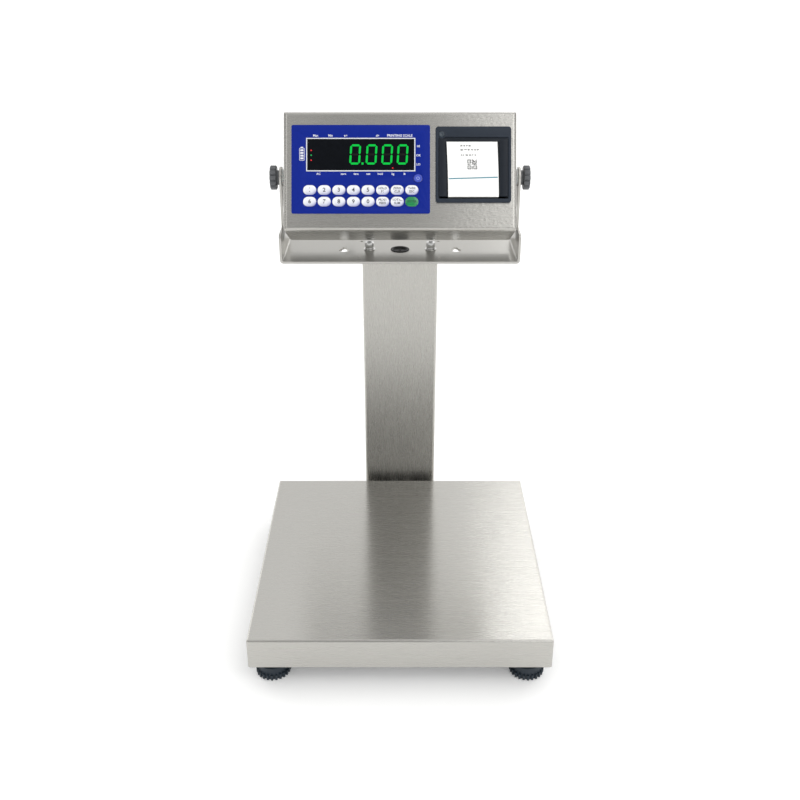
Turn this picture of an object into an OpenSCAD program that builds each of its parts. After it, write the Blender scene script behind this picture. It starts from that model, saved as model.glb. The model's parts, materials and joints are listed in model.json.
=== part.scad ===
// Label printing bench scale: a weighing platform on four levelling feet, a column behind it,
// and an indicator with a keypad and a label printer held in a tilting bracket.
// Millimetres. +Z is up and -Y is the side the operator stands at.

/* [Platform] */
// Width of the weighing pan
pan_w = 300; // [260:5:400]
// Depth of the weighing pan
pan_d = 300; // [260:5:400]
// Height of the pan's top above the floor
platform_h = 55; // [52:1:80]
// Height of the pan's folded skirt
pan_skirt = 33; // [26:0.5:33]
// Thickness of the pan's sheet
pan_sheet = 1.5; // [1:0.1:2]
// Outer radius of the pan's folds
pan_fold_r = 2.4; // [2:0.2:5]

/* [Feet] */
// Radius of a foot's toothed disc
foot_r = 17.5; // [14:0.5:20]
// Height of a foot's disc
foot_h = 17; // [12:0.5:17]
// Number of teeth on a foot's disc
foot_teeth = 24; // [12:1:28]
// Distance from the pan's edge to a foot's centre
foot_inset = 22; // [21:0.5:30]
// Radius of a foot's stud
stud_r = 4; // [3:0.5:5]

/* [Base frame] */
// Width of the frame's tube
ring_w = 24; // [20:1:26]
// Height of the frame's tube
ring_h = 18; // [14:0.5:18]
// Wall of the frame's tube
ring_wall = 2; // [1.5:0.1:3]
// Width of the plate that the load cell is bolted to
cell_plate_w = 70; // [50:2:80]
// Thickness of that plate
cell_plate_t = 3; // [2.5:0.5:4]
// Width of each bar that carries the column
tongue_w = 26; // [22:1:26]
// Thickness of those bars
tongue_t = 6; // [5:0.5:8]

/* [Load cell] */
// Length of the load cell
cell_l = 130; // [110:5:150]
// Width of the load cell
cell_w = 30; // [26:1:40]
// Height of the load cell
cell_h = 22; // [20:0.5:24]
// Radius of its two large bores
cell_bore_r = 7.5; // [5:0.5:8.5]
// Thickness of each spacer
spacer_t = 2; // [1.5:0.25:3]
// Radius of the load cell bolts
cell_bolt_r = 3; // [2.5:0.5:4]
// Distance from the load cell's middle to its bolts
cell_bolt_reach = 54; // [44:1:56]
// Distance between two bolts side by side
cell_bolt_gap = 16; // [14:1:18]

/* [Load frame] */
// Thickness of the load frame's middle plate
load_plate_t = 2.5; // [2.2:0.1:4]
// Width of the load frame's bars
bar_w = 16; // [12:1:20]
// Height of the load frame's bars
bar_h = 9; // [7:0.5:9]
// Distance from the middle to each front and rear bar
bar_y = 90; // [80:1:100]
// Distance from the middle to each side bar
bar_x = 95; // [80:1:105]
// Thickness of the pan's rubber pads
pad_t = 1.5; // [1:0.25:2]
// Radius of the pan's rubber pads
pad_r = 7; // [5:0.5:7.5]
// Gap between the bars and the overload stops
stop_gap = 0.8; // [0.6:0.1:1.5]

/* [Column] */
// Width of the column
column_w = 85; // [80:1:110]
// Depth of the column
column_d = 50; // [46:1:70]
// Wall of the column
column_wall = 1.5; // [1.2:0.1:3]
// Gap between the pan's rear edge and the column
column_gap = 12; // [10:1:40]
// Thickness of the foot plate inside the column
foot_plate_t = 6; // [5:0.5:10]
// Thickness of the column's cap
cap_t = 4; // [3:0.5:6]
// Height of the bracket plate's top above the floor
bracket_z = 341; // [250:1:700]

/* [Bracket] */
// Width over the bracket's two arms
bracket_w = 266; // [262:0.5:290]
// Depth of the bracket's plate
bracket_d = 86; // [70:1:100]
// Thickness of the bracket's sheet
bracket_t = 2.5; // [2:0.1:3]
// Height of the tilt axis above the plate
pivot_rise = 83; // [80:1:110]
// Height of the full depth part of each arm
arm_low_h = 30; // [24:1:40]
// Radius of each arm's round top
arm_top_r = 12; // [10:0.5:16]
// Distance between the two fixing screws
bracket_screw_gap = 70; // [60:1:70]
// Distance between the two keyholes
keyhole_gap = 128; // [110:1:140]
// Radius of a keyhole's round end
keyhole_r = 5.8; // [4:0.2:7]
// Radius of a keyhole's slot
keyhole_slot_r = 2.5; // [2:0.1:3]
// Length of a keyhole from round end to slot end
keyhole_l = 8; // [6:0.5:12]
// Distance between the small holes from side to side
small_hole_gap_x = 90; // [84:1:100]
// Distance between the small holes from front to back
small_hole_gap_y = 62; // [54:1:66]
// Radius of the small holes
small_hole_r = 1.8; // [1.2:0.1:2.5]
// Radius of the cable grommet's rim
grommet_r = 10.8; // [8:0.2:11]

/* [Indicator housing] */
// Width of the housing
head_w = 252; // [248:0.5:256]
// Height of the housing
head_h = 129; // [124:1:136]
// Depth of the housing
head_d = 62; // [56:1:70]
// Angle that the housing leans back
head_tilt = 26.6; // [0:0.1:40]
// Thickness of the housing's sheet
head_sheet = 1.5; // [1:0.1:2]
// Outer radius of the housing's front folds
head_fold_r = 4; // [2.5:0.25:5]
// Outer radius of the housing's corners
head_corner_r = 3; // [2.5:0.25:6]
// Width of the housing's rear flange
flange_w = 12; // [10:0.5:13]
// Thickness of the rear cover
cover_t = 2; // [1.5:0.25:3]
// Thickness of the cover's gasket
gasket_t = 2; // [1:0.25:3]

/* [Keypad] */
// Width of the keypad's overlay
overlay_w = 149.4; // [146:0.2:152]
// Height of the keypad's overlay
overlay_h = 95.5; // [92:0.5:100]
// Thickness of the keypad's overlay
overlay_t = 1; // [0.8:0.1:1.5]
// Place of the overlay's middle across the housing
overlay_x = -42.3; // [-44:0.1:-42]
// Place of the overlay's middle above the tilt axis
overlay_z = 1.8; // [0:0.1:4]
// Width of the display window
window_w = 117.8; // [112:0.2:120]
// Height of the display window
window_h = 36.3; // [34:0.1:38]
// Place of the window's middle above the tilt axis
window_z = 17.5; // [16:0.1:19]
// Width of a key
key_w = 14; // [12:0.1:14.5]
// Height of a key
key_h = 10.4; // [8:0.1:11]
// Distance between keys in a row
key_pitch = 15.72; // [15.4:0.02:16]
// Distance between the two rows of keys
key_row_pitch = 12.5; // [12:0.1:13]
// Place of the upper row above the tilt axis
key_row_z = -20.7; // [-21:0.1:-18]
// How far a key stands proud of the overlay
key_proud = 1; // [0.5:0.1:1.5]
// Travel of a key
key_travel = 0.4; // [0.2:0.05:0.5]
// Radius of a key's stem
key_stem_r = 2; // [1.5:0.1:2.5]
// Radius of the power key
power_r = 4.4; // [3.5:0.1:5]

/* [Printer] */
// Width of the printer's bezel
bezel_w = 81.4; // [80:0.2:82]
// Height of the printer's bezel
bezel_h = 81.8; // [80:0.2:84]
// How far the bezel stands proud of the housing
bezel_t = 3; // [2.6:0.1:4]
// Place of the bezel's middle across the housing
printer_x = 79; // [78:0.1:79.5]
// Place of the bezel's middle above the tilt axis
printer_z = 6.6; // [4:0.1:8]
// Depth of the printer's well behind the housing's front
well_d = 45; // [42:1:46]
// Width of the door
door_w = 74.2; // [70:0.2:74.6]
// Height of the door below its hinge axis
door_h = 62; // [58:0.5:62]
// Thickness of the door
door_t = 2; // [1.6:0.1:2.4]
// Width of the label strip
label_w = 54.4; // [40:0.2:56]
// Thickness of the label strip
label_t = 0.3; // [0.2:0.05:0.5]
// How far the strip's free end lifts off the door
label_lift = 3; // [0:0.25:6]
// Radius of the paper roll
roll_r = 17; // [10:0.5:17]
// Radius of the platen roller
platen_r = 5; // [4:0.25:5]
// Radius of the feed button
feed_r = 3; // [2.4:0.1:3]

/* [Knobs] */
// Radius of a clamp knob
knob_r = 13.2; // [11:0.2:15]
// Thickness of a clamp knob's grip
knob_grip_t = 7; // [5:0.5:10]
// Height of a clamp knob's hub
knob_hub_t = 3.4; // [2:0.2:6]
// Number of lobes on a clamp knob
knob_lobes = 12; // [8:1:14]
// Radius of a clamp knob's stud
pivot_r = 3; // [2.5:0.25:4]

/* [Hidden] */
$fn = 48;

// clearances
thread_gap = 0.05;   // a stud in its thread
slip_gap = 0.3;      // a screw in a plain hole, or a key in its hole
face_gap = 0.1;      // between a knob and the arm beside it
under_gap = 1.5;     // between the pan's skirt and the bars below it
bar_gap = 1.5;       // between the base frame and the load frame's bars above it
big = 1000;

// heights in the platform, from the pan down
pan_under = platform_h - pan_sheet;
load_top = pan_under - pad_t;
load_under = load_top - bar_h;
cell_top = load_top - load_plate_t - spacer_t;
cell_z = cell_top - cell_h;
ring_z = min(cell_z - spacer_t, load_under - bar_gap - ring_h);
lower_spacer_t = cell_z - ring_z;
ring_top = ring_z + ring_h;
skirt_z = platform_h - pan_skirt;
tongue_top = min(skirt_z - under_gap, ring_z - cell_plate_t);
tongue_z = tongue_top - tongue_t;
nut_h = 5;

// places on the floor, from front to back
column_reach = pan_d / 2 + column_gap + column_d / 2;
cover_screw_r = 2;
cover_head_r = 3.8;
cover_head_h = 2.4;
cover_row_z = head_h / 2 - head_sheet - flange_w / 2;
cover_row_x = head_w / 2 - head_sheet - flange_w / 2;
head_back = (head_d / 2 + cover_head_h) * cos(head_tilt)
    + (cover_row_z + cover_head_r) * sin(head_tilt);
total_d = pan_d / 2 + column_reach + head_back;
pan_y = pan_d / 2 - total_d / 2;
column_y = pan_y + column_reach;

// base frame
foot_x = pan_w / 2 - foot_inset;
foot_y = pan_d / 2 - foot_inset;
ring_out_x = foot_x + ring_w / 2;
ring_out_y = foot_y + ring_w / 2;
tongue_gap = 26;     // between the two bars, where the lead runs
tongue_x = (tongue_gap + tongue_w) / 2;
column_bolt_r = 4;
column_bolt_y = column_d / 2 - 11;
bolt_head_h = 5.3;
lead_r = 2.5;
lead_bend = 14;
lead_z = tongue_z + 1.7;

// overload stops
stop_r = 3;
stop_x = foot_x;

// column and bracket
column_r = 2.5;
arm_in = bracket_w / 2 - bracket_t;
pivot_z = bracket_z + pivot_rise;
bracket_fold_r = 4;
grommet_neck_r = grommet_r - 1.8;
screw_r = 3;
screw_l = 20;
screw_head_r = 5;
screw_head_h = 6;
flat_washer_r = 6.5;
flat_washer_t = 1.6;
spring_washer_t = 1.5;

// housing
shell_d = head_d - cover_t - gasket_t;
boss_r = 8;
boss_proud = 2.5;
boss_in = 6.5;
washer_r = 9;
board_t = 1.6;
board_depth = 6;     // from the housing's front to the main board
board_w = 140;
board_h = 86;
standoff_r = 3;
gland_x = -60;
inlet_x = -18;
fitting_z = -36;

// keypad
key_names = ["1", "2", "3", "4", "5", "hold", "zero", "tare",
    "6", "7", "8", "9", "0", "print", "total", "enter"];
key_count = 8;
key_back = overlay_t - key_travel - 0.15;  // how deep a key's cap reaches into the overlay
power_x = overlay_x + overlay_w / 2 - 13;
power_z = -8;

// printer
well_wall = 2;
well_w = bezel_w - 5.6;
well_h = bezel_h - 6;
well_in = well_w / 2 - well_wall;
opening_w = door_w + 2 * slip_gap;
hinge_z = printer_z + bezel_h / 2 - 13.4;
hinge_y = -bezel_t + door_t / 2;  // depth of the hinge axis, negative is in front of the housing
hinge_r = door_t / 2;
hinge_pin_r = 0.8;
door_end_z = hinge_z - door_h;
opening_top = hinge_z + hinge_r + slip_gap;
opening_end = door_end_z - 2.6;
cheek_x = 30;
cheek_t = 2;
platen_z = hinge_z - 54;
platen_depth = 7;
platen_l = 57;
platen_shaft_r = 2;
roll_depth = 23;
roll_z = printer_z + 1;
roll_l = 56;
core_r = 6.5;
spigot_l = 10.6;
feed_x = printer_x - bezel_w / 2 + 6.6;
feed_z = printer_z + bezel_h / 2 - 8.6;
feed_proud = 0.8;
feed_travel = 0.6;

// ---- shapes that several pieces share ----

// flat rectangle with round corners
module round_rect(w, h, r) {
    square([w - 2 * r, h], center = true);
    square([w, h - 2 * r], center = true);
    for (x = [-1, 1], y = [-1, 1])
        translate([x * (w / 2 - r), y * (h / 2 - r)]) circle(r);
}

// section of a folded sheet: round at the corners of its lower side, from y = 0 up
module fold_section(w, h, r) {
    translate([-w / 2, r]) square([w, h - r]);
    translate([r - w / 2, 0]) square([w - 2 * r, h]);
    for (x = [-1, 1]) translate([x * (w / 2 - r), r]) circle(r);
}

// solid block with its face at z = 0 and round folds all round that face
module fold_block(w, l, h, r, corner_r) {
    intersection() {
        linear_extrude(h) round_rect(w, l, corner_r);
        rotate([90, 0, 0]) linear_extrude(l, center = true) fold_section(w, h, r);
        rotate([90, 0, 90]) linear_extrude(w, center = true) fold_section(l, h, r);
    }
}

// open tray folded from sheet, face at z = 0 and mouth at z = h
module sheet_tray(w, l, h, r, corner_r, t) {
    difference() {
        fold_block(w, l, h, r, corner_r);
        translate([0, 0, t]) fold_block(w - 2 * t, l - 2 * t, h, r - t, corner_r - t);
    }
}

// flat oval that is a bar with round ends
module oval(w, h) {
    square([w - h, h], center = true);
    for (x = [-1, 1]) translate([x * (w - h) / 2, 0]) circle(h / 2);
}

// flat disc with n round lobes
module lobed_disc(r, n, depth) {
    steps = n * 6;
    polygon([for (i = [0:steps - 1])
        let (a = 360 * i / steps, q = r - depth * (0.5 - 0.5 * cos(n * a))) [q * cos(a), q * sin(a)]]);
}

module ring(r_out, r_in, h) {
    difference() {
        cylinder(r = r_out, h = h);
        translate([0, 0, -1]) cylinder(r = r_in, h = h + 2);
    }
}

module hex_nut(across_r, bore_r, h) {
    difference() {
        cylinder(r = across_r, h = h, $fn = 6);
        translate([0, 0, -1]) cylinder(r = bore_r, h = h + 2);
    }
}

module at_four(x, y) {
    for (sx = [-1, 1], sy = [-1, 1]) translate([sx * x, sy * y, 0]) children();
}

module at_platform() {
    translate([0, pan_y, 0]) children();
}

module at_column() {
    translate([0, column_y, 0]) children();
}

// the leaning housing's own frame: its origin is on the tilt axis
module at_head() {
    translate([0, column_y, pivot_z]) rotate([-head_tilt, 0, 0]) children();
}

// a place on the housing's front, with +z pointing into the housing
module at_face(x, z, depth) {
    at_head() translate([x, depth - head_d / 2, z]) rotate([-90, 0, 0]) children();
}

module along_x(x, depth, z) {
    at_head() translate([x, depth - head_d / 2, z]) rotate([0, 90, 0]) children();
}

// ---- platform ----

module tube_ring() {
    difference() {
        translate([-ring_out_x, -ring_out_y, ring_z]) cube([2 * ring_out_x, 2 * ring_out_y, ring_h]);
        translate([ring_w - ring_out_x, ring_w - ring_out_y, 0])
            cube([2 * (ring_out_x - ring_w), 2 * (ring_out_y - ring_w), big]);
        for (s = [-1, 1]) {
            translate([s * foot_x, 0, ring_z + ring_h / 2])
                cube([ring_w - 2 * ring_wall, 2 * (ring_out_y - ring_wall), ring_h - 2 * ring_wall],
                    center = true);
            translate([0, s * foot_y, ring_z + ring_h / 2])
                cube([2 * (ring_out_x - ring_wall), ring_w - 2 * ring_wall, ring_h - 2 * ring_wall],
                    center = true);
        }
    }
}

module base_frame() {
    color("silver") at_platform() difference() {
        union() {
            tube_ring();
            at_four(foot_x, foot_y) translate([0, 0, ring_z]) cylinder(r = stud_r + 3, h = 8);
            translate([-cell_plate_w / 2, -ring_out_y, ring_z - cell_plate_t])
                cube([cell_plate_w, 2 * ring_out_y, cell_plate_t]);
        }
        at_four(foot_x, foot_y) translate([0, 0, ring_z - 1])
            cylinder(r = stud_r + thread_gap, h = 10);
        at_four(stop_x, bar_y) translate([0, 0, ring_top - ring_wall - 1])
            cylinder(r = stop_r + thread_gap, h = ring_wall + 2);
        for (x = [-1, 1]) translate([x * cell_bolt_gap / 2, cell_bolt_reach, 0])
            cylinder(r = cell_bolt_r + slip_gap, h = ring_z + 1);
        translate([-lead_r - 2, cell_l / 2 + 13, 0]) cube([2 * lead_r + 4, 32, ring_z + 1]);
    }
}

// two bars under the rear of the frame that carry the column behind the platform
module column_bars() {
    front = ring_out_y - ring_w;
    color("silver") at_platform() difference() {
        for (s = [-1, 1]) translate([s * tongue_x - tongue_w / 2, front, tongue_z]) {
            cube([tongue_w, column_reach + column_d / 2 - front, tongue_t]);
            cube([tongue_w, ring_w, ring_z - cell_plate_t - tongue_z]);
        }
        translate([0, column_reach, 0]) at_four(tongue_x, column_bolt_y)
            cylinder(r = column_bolt_r + slip_gap, h = big);
    }
}

module foot_lock_nuts() {
    color("gainsboro") at_platform() at_four(foot_x, foot_y)
        translate([0, 0, ring_z - nut_h]) hex_nut(stud_r * 1.8, stud_r + thread_gap, nut_h);
}

module load_cell() {
    color("lightsteelblue") at_platform() difference() {
        translate([-cell_w / 2, -cell_l / 2, cell_z]) cube([cell_w, cell_l, cell_h]);
        for (y = [-1, 1]) translate([0, y * (cell_bore_r + 2), cell_z + cell_h / 2]) rotate([0, 90, 0])
            cylinder(r = cell_bore_r, h = cell_w + 2, center = true);
        translate([0, 0, cell_z + cell_h / 2]) cube([cell_w + 2, 3 * cell_bore_r, 4], center = true);
        for (x = [-1, 1]) {
            translate([x * cell_bolt_gap / 2, cell_bolt_reach, cell_z - 1])
                cylinder(r = cell_bolt_r + thread_gap, h = 14);
            translate([x * cell_bolt_gap / 2, -cell_bolt_reach, cell_top - 13])
                cylinder(r = cell_bolt_r + thread_gap, h = 14);
        }
    }
}

module cell_spacer(side, z, t) {
    at_platform() difference() {
        translate([-cell_w / 2, side * cell_bolt_reach - (cell_l / 2 - cell_bolt_reach), z])
            cube([cell_w, cell_l - 2 * cell_bolt_reach, t]);
        for (x = [-1, 1]) translate([x * cell_bolt_gap / 2, side * cell_bolt_reach, z - 1])
            cylinder(r = cell_bolt_r + slip_gap, h = t + 2);
    }
}

module cell_spacer_lower() {
    color("gray") cell_spacer(1, ring_z, lower_spacer_t);
}

module cell_spacer_upper() {
    color("gray") cell_spacer(-1, cell_top, spacer_t);
}

module cell_bolts_lower() {
    color("dimgray") at_platform() for (x = [-1, 1])
        translate([x * cell_bolt_gap / 2, cell_bolt_reach, ring_z - cell_plate_t]) {
            translate([0, 0, -3.5]) cylinder(r = cell_bolt_r * 1.7, h = 3.5);
            cylinder(r = cell_bolt_r, h = cell_plate_t + lower_spacer_t + 11);
        }
}

module cell_bolts_upper() {
    color("dimgray") at_platform() for (x = [-1, 1])
        translate([x * cell_bolt_gap / 2, -cell_bolt_reach, load_top]) {
            translate([0, 0, -2.2]) cylinder(r1 = cell_bolt_r, r2 = cell_bolt_r * 1.7, h = 2.2);
            translate([0, 0, -load_plate_t - spacer_t - 11])
                cylinder(r = cell_bolt_r, h = load_plate_t + spacer_t + 9);
        }
}

module stop_screws() {
    color("gainsboro") at_platform() at_four(stop_x, bar_y)
        translate([0, 0, ring_top - 9]) cylinder(r = stop_r, h = load_under - stop_gap - ring_top + 9);
}

module load_frame() {
    color("silver") at_platform() difference() {
        union() {
            for (s = [-1, 1]) {
                translate([-stop_x - bar_w / 2, s * bar_y - bar_w / 2, load_under])
                    cube([2 * stop_x + bar_w, bar_w, bar_h]);
                translate([s * bar_x - bar_w / 2, -bar_y, load_under]) cube([bar_w, 2 * bar_y, bar_h]);
            }
            translate([-cell_plate_w / 2, -bar_y, load_top - load_plate_t])
                cube([cell_plate_w, 2 * bar_y, load_plate_t]);
        }
        for (x = [-1, 1]) translate([x * cell_bolt_gap / 2, -cell_bolt_reach, load_top]) {
            translate([0, 0, -2.2])
                cylinder(r1 = cell_bolt_r + slip_gap, r2 = cell_bolt_r * 1.7 + slip_gap, h = 2.2);
            translate([0, 0, -load_plate_t - 1]) cylinder(r = cell_bolt_r + slip_gap, h = load_plate_t + 2);
        }
    }
}

module pan_pads() {
    color("black") at_platform() at_four(stop_x, bar_y)
        translate([0, 0, load_top]) cylinder(r = pad_r, h = pad_t);
}

module weighing_pan() {
    color("gainsboro") at_platform() translate([0, 0, platform_h]) mirror([0, 0, 1])
        sheet_tray(pan_w, pan_d, pan_skirt, pan_fold_r, pan_fold_r, pan_sheet);
}

module foot(side_x, side_y) {
    color("darkslategray") at_platform() translate([side_x * foot_x, side_y * foot_y, 0]) {
        cylinder(r = foot_r - 3, h = 2);
        translate([0, 0, 2]) linear_extrude(foot_h - 5) lobed_disc(foot_r, foot_teeth, 1.4);
        translate([0, 0, foot_h - 3]) cylinder(r1 = foot_r - 2.4, r2 = stud_r + 4, h = 3);
        translate([0, 0, 2]) cylinder(r = stud_r, h = ring_z + 5);
    }
}

// the lead's middle line, in the plane x = 0, as [y, z] from the platform's middle
function turn(y, z, a, dir) = [y + lead_bend * sin(a), z + dir * lead_bend * (1 - cos(a))];
lead_start = cell_z + cell_h / 2;
lead_drop = acos(1 - (lead_start - lead_z) / (2 * lead_bend));
lead_y1 = cell_l / 2 + 8;
lead_y2 = lead_y1 + 2 * lead_bend * sin(lead_drop);
lead_y3 = column_reach - lead_bend;
lead_end = bracket_z - bracket_t - 3;
lead_path = concat(
    [[cell_l / 2, lead_start]],
    [for (a = [0:lead_drop / 8:lead_drop]) turn(lead_y1, lead_start, a, -1)],
    [for (i = [7:-1:0]) let (p = turn(0, 0, i * lead_drop / 8, -1)) [lead_y2 - p[0], lead_z - p[1]]],
    [[(lead_y2 + lead_y3) / 2, lead_z]],
    [for (a = [0:10:90]) turn(lead_y3, lead_z, a, 1)],
    [for (i = [1:4]) [column_reach, lead_z + lead_bend + i * (lead_end - lead_z - lead_bend) / 4]]);

module swept_tube(path, r, sides) {
    n = len(path);
    points = [for (i = [0:n - 1])
        let (before = path[max(i - 1, 0)], after = path[min(i + 1, n - 1)],
            run = i == 0 ? [1, 0] : i == n - 1 ? [0, 1] : (after - before) / norm(after - before))
        for (k = [0:sides - 1])
            let (a = 360 * k / sides)
            [r * cos(a), path[i][0] - r * sin(a) * run[1], path[i][1] + r * sin(a) * run[0]]];
    walls = [for (i = [0:n - 2], k = [0:sides - 1])
        let (j = (k + 1) % sides)
        [i * sides + k, i * sides + j, (i + 1) * sides + j, (i + 1) * sides + k]];
    polyhedron(points, concat(
        [[for (k = [sides - 1:-1:0]) k]], walls, [[for (k = [0:sides - 1]) (n - 1) * sides + k]]));
}

module cell_lead() {
    color("black") at_platform() swept_tube(lead_path, lead_r, 8);
}

// ---- column and bracket ----

module column() {
    top = bracket_z - bracket_t;
    inner_w = column_w - 2 * column_wall;
    inner_d = column_d - 2 * column_wall;
    color("lightgray") at_column() difference() {
        translate([0, 0, tongue_top])
            linear_extrude(top - tongue_top) round_rect(column_w, column_d, column_r);
        translate([0, 0, tongue_top + foot_plate_t])
            linear_extrude(top - cap_t - tongue_top - foot_plate_t)
            round_rect(inner_w, inner_d, column_r - column_wall);
        translate([-tongue_gap / 2, -inner_d / 2, 0]) cube([tongue_gap, inner_d, tongue_top + foot_plate_t + 1]);
        cylinder(r = grommet_r + 1.2, h = big);
        for (x = [-1, 1]) translate([x * bracket_screw_gap / 2, 0, 0])
            cylinder(r = screw_r + thread_gap, h = big);
        at_four(tongue_x, column_bolt_y) cylinder(r = column_bolt_r + thread_gap, h = 60);
    }
}

module column_bolts() {
    color("gainsboro") at_column() at_four(tongue_x, column_bolt_y) translate([0, 0, tongue_z]) {
        translate([0, 0, -bolt_head_h]) cylinder(r = column_bolt_r * 1.85, h = bolt_head_h, $fn = 6);
        cylinder(r = column_bolt_r, h = tongue_t + foot_plate_t);
    }
}

module keyhole() {
    cylinder(r = keyhole_r, h = big);
    translate([0, keyhole_l, 0]) cylinder(r = keyhole_slot_r, h = big);
    translate([-keyhole_slot_r, 0, 0]) cube([2 * keyhole_slot_r, keyhole_l, big]);
}

// side view of an arm: full depth low down, then an upright with a round top
module arm_side() {
    translate([-bracket_d / 2, -bracket_t]) square([bracket_d, arm_low_h - 4 + bracket_t]);
    translate([4 - bracket_d / 2, arm_low_h - 8]) square([bracket_d - 8, 8]);
    for (s = [-1, 1]) translate([s * (bracket_d / 2 - 4), arm_low_h - 4]) circle(4);
    translate([-arm_top_r, 0]) square([2 * arm_top_r, pivot_rise]);
    translate([0, pivot_rise]) circle(arm_top_r);
}

module head_bracket() {
    color("lightgray") at_column() difference() {
        intersection() {
            translate([0, 0, bracket_z - bracket_t]) rotate([90, 0, 0])
                linear_extrude(bracket_d, center = true) difference() {
                    fold_section(bracket_w, pivot_rise + arm_top_r + bracket_t, bracket_fold_r);
                    translate([0, bracket_t]) fold_section(bracket_w - 2 * bracket_t, big,
                        bracket_fold_r - bracket_t);
                }
            translate([0, 0, bracket_z]) rotate([90, 0, 90])
                linear_extrude(bracket_w + 2, center = true) arm_side();
        }
        translate([0, 0, pivot_z]) rotate([0, 90, 0])
            cylinder(r = pivot_r + thread_gap, h = bracket_w + 2, center = true);
        translate([0, 0, bracket_z - big / 2]) {
            cylinder(r = grommet_neck_r, h = big);
            for (x = [-1, 1]) {
                translate([x * bracket_screw_gap / 2, 0, 0]) cylinder(r = screw_r + slip_gap, h = big);
                translate([x * keyhole_gap / 2, -2, 0]) keyhole();
            }
            at_four(small_hole_gap_x / 2, small_hole_gap_y / 2) cylinder(r = small_hole_r, h = big);
        }
    }
}

// each screw with its flat washer and its spring washer
module bracket_screws() {
    color("silver") at_column() for (x = [-1, 1])
        translate([x * bracket_screw_gap / 2, 0, bracket_z]) {
            ring(flat_washer_r, screw_r + slip_gap, flat_washer_t);
            translate([0, 0, flat_washer_t])
                ring(screw_head_r + 0.3, screw_r + slip_gap, spring_washer_t);
            translate([0, 0, flat_washer_t + spring_washer_t]) difference() {
                union() {
                    cylinder(r = screw_head_r, h = screw_head_h);
                    translate([0, 0, -screw_l]) cylinder(r = screw_r, h = screw_l);
                }
                translate([0, 0, screw_head_h - 3]) cylinder(r = 2.9, h = 4, $fn = 6);
            }
        }
}

module cable_grommet() {
    color("black") at_column() translate([0, 0, bracket_z]) rotate_extrude() {
        square([grommet_r, 1.2]);
        translate([0, -bracket_t]) square([grommet_neck_r, bracket_t + 0.6]);
        translate([0, -bracket_t - 3]) square([grommet_r, 3]);
    }
}

// ---- indicator housing ----

module key_place(i) {
    x = overlay_x + (i % key_count - (key_count - 1) / 2) * key_pitch;
    z = key_row_z - floor(i / key_count) * key_row_pitch;
    at_face(x, z, 0) children();
}

module power_place() {
    at_face(power_x, power_z, 0) children();
}

module key_holes(r) {
    for (i = [0:len(key_names) - 1]) key_place(i) translate([0, 0, -1]) cylinder(r = r, h = 6);
    power_place() translate([0, 0, -1]) cylinder(r = r, h = 6);
}

module cover_screw_places() {
    for (x = [-1, 0, 1], z = [-1, 1]) at_face(x * cover_row_x, z * cover_row_z, shell_d) children();
    for (x = [-1, 1]) at_face(x * cover_row_x, 0, shell_d) children();
}

module front_shell() {
    color("lightgray") difference() {
        union() {
            at_face(0, 0, 0) sheet_tray(head_w, head_h, shell_d, head_fold_r, head_corner_r, head_sheet);
            at_face(0, 0, shell_d - head_sheet) linear_extrude(head_sheet) difference() {
                round_rect(head_w, head_h, head_corner_r);
                round_rect(head_w - 2 * (head_sheet + flange_w), head_h - 2 * (head_sheet + flange_w), 4);
            }
            for (s = [-1, 1]) along_x(s * (head_w / 2 - (boss_in + head_sheet - boss_proud) / 2),
                head_d / 2, 0)
                cylinder(r = boss_r, h = boss_in + head_sheet + boss_proud, center = true);
            for (x = [-1, 1], z = [-1, 1])
                at_face(overlay_x + x * (board_w / 2 - 5), z * (board_h / 2 - 5), head_sheet)
                    cylinder(r = standoff_r, h = board_depth - head_sheet);
        }
        at_face(overlay_x, window_z, -1) linear_extrude(head_sheet + 2)
            round_rect(window_w - 11, window_h - 7, 2);
        at_face(printer_x, printer_z, -1) linear_extrude(head_sheet + 2)
            round_rect(well_w, well_h, 2);
        key_holes(key_stem_r + slip_gap);
        for (s = [-1, 1]) along_x(s * (head_w / 2 - 4), head_d / 2, 0)
            cylinder(r = pivot_r + thread_gap, h = 30, center = true);
        cover_screw_places() translate([0, 0, -6]) cylinder(r = cover_screw_r + thread_gap, h = 8);
    }
}

module cover_gasket() {
    color("black") difference() {
        at_face(0, 0, shell_d) linear_extrude(gasket_t) difference() {
            round_rect(head_w - 2, head_h - 2, head_corner_r);
            round_rect(head_w - 2 * (head_sheet + flange_w), head_h - 2 * (head_sheet + flange_w), 4);
        }
        cover_screw_places() translate([0, 0, -1]) cylinder(r = cover_screw_r + slip_gap, h = gasket_t + 2);
    }
}

module rear_cover() {
    color("lightgray") difference() {
        at_face(0, 0, shell_d + gasket_t) linear_extrude(cover_t)
            round_rect(head_w - 0.6, head_h - 0.6, head_corner_r);
        cover_screw_places() cylinder(r = cover_screw_r + slip_gap, h = 20);
        at_face(gland_x, fitting_z, 0) cylinder(r = 8, h = big);
        at_face(inlet_x, fitting_z, 0) cylinder(r = 6, h = big);
    }
}

module cover_screws() {
    color("silver") cover_screw_places() translate([0, 0, gasket_t + cover_t]) difference() {
        union() {
            cylinder(r = cover_head_r, h = cover_head_h);
            translate([0, 0, -gasket_t - cover_t - 6])
                cylinder(r = cover_screw_r, h = gasket_t + cover_t + 6);
        }
        translate([0, 0, cover_head_h - 1.4]) cylinder(r = 1.5, h = 2, $fn = 6);
    }
}

module pivot_washers() {
    gap = arm_in - head_w / 2 - boss_proud;
    color("white") for (s = [-1, 1]) along_x(s * (arm_in - gap / 2), head_d / 2, 0)
        translate([0, 0, -gap / 2]) ring(washer_r, pivot_r + slip_gap, gap);
}

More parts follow.
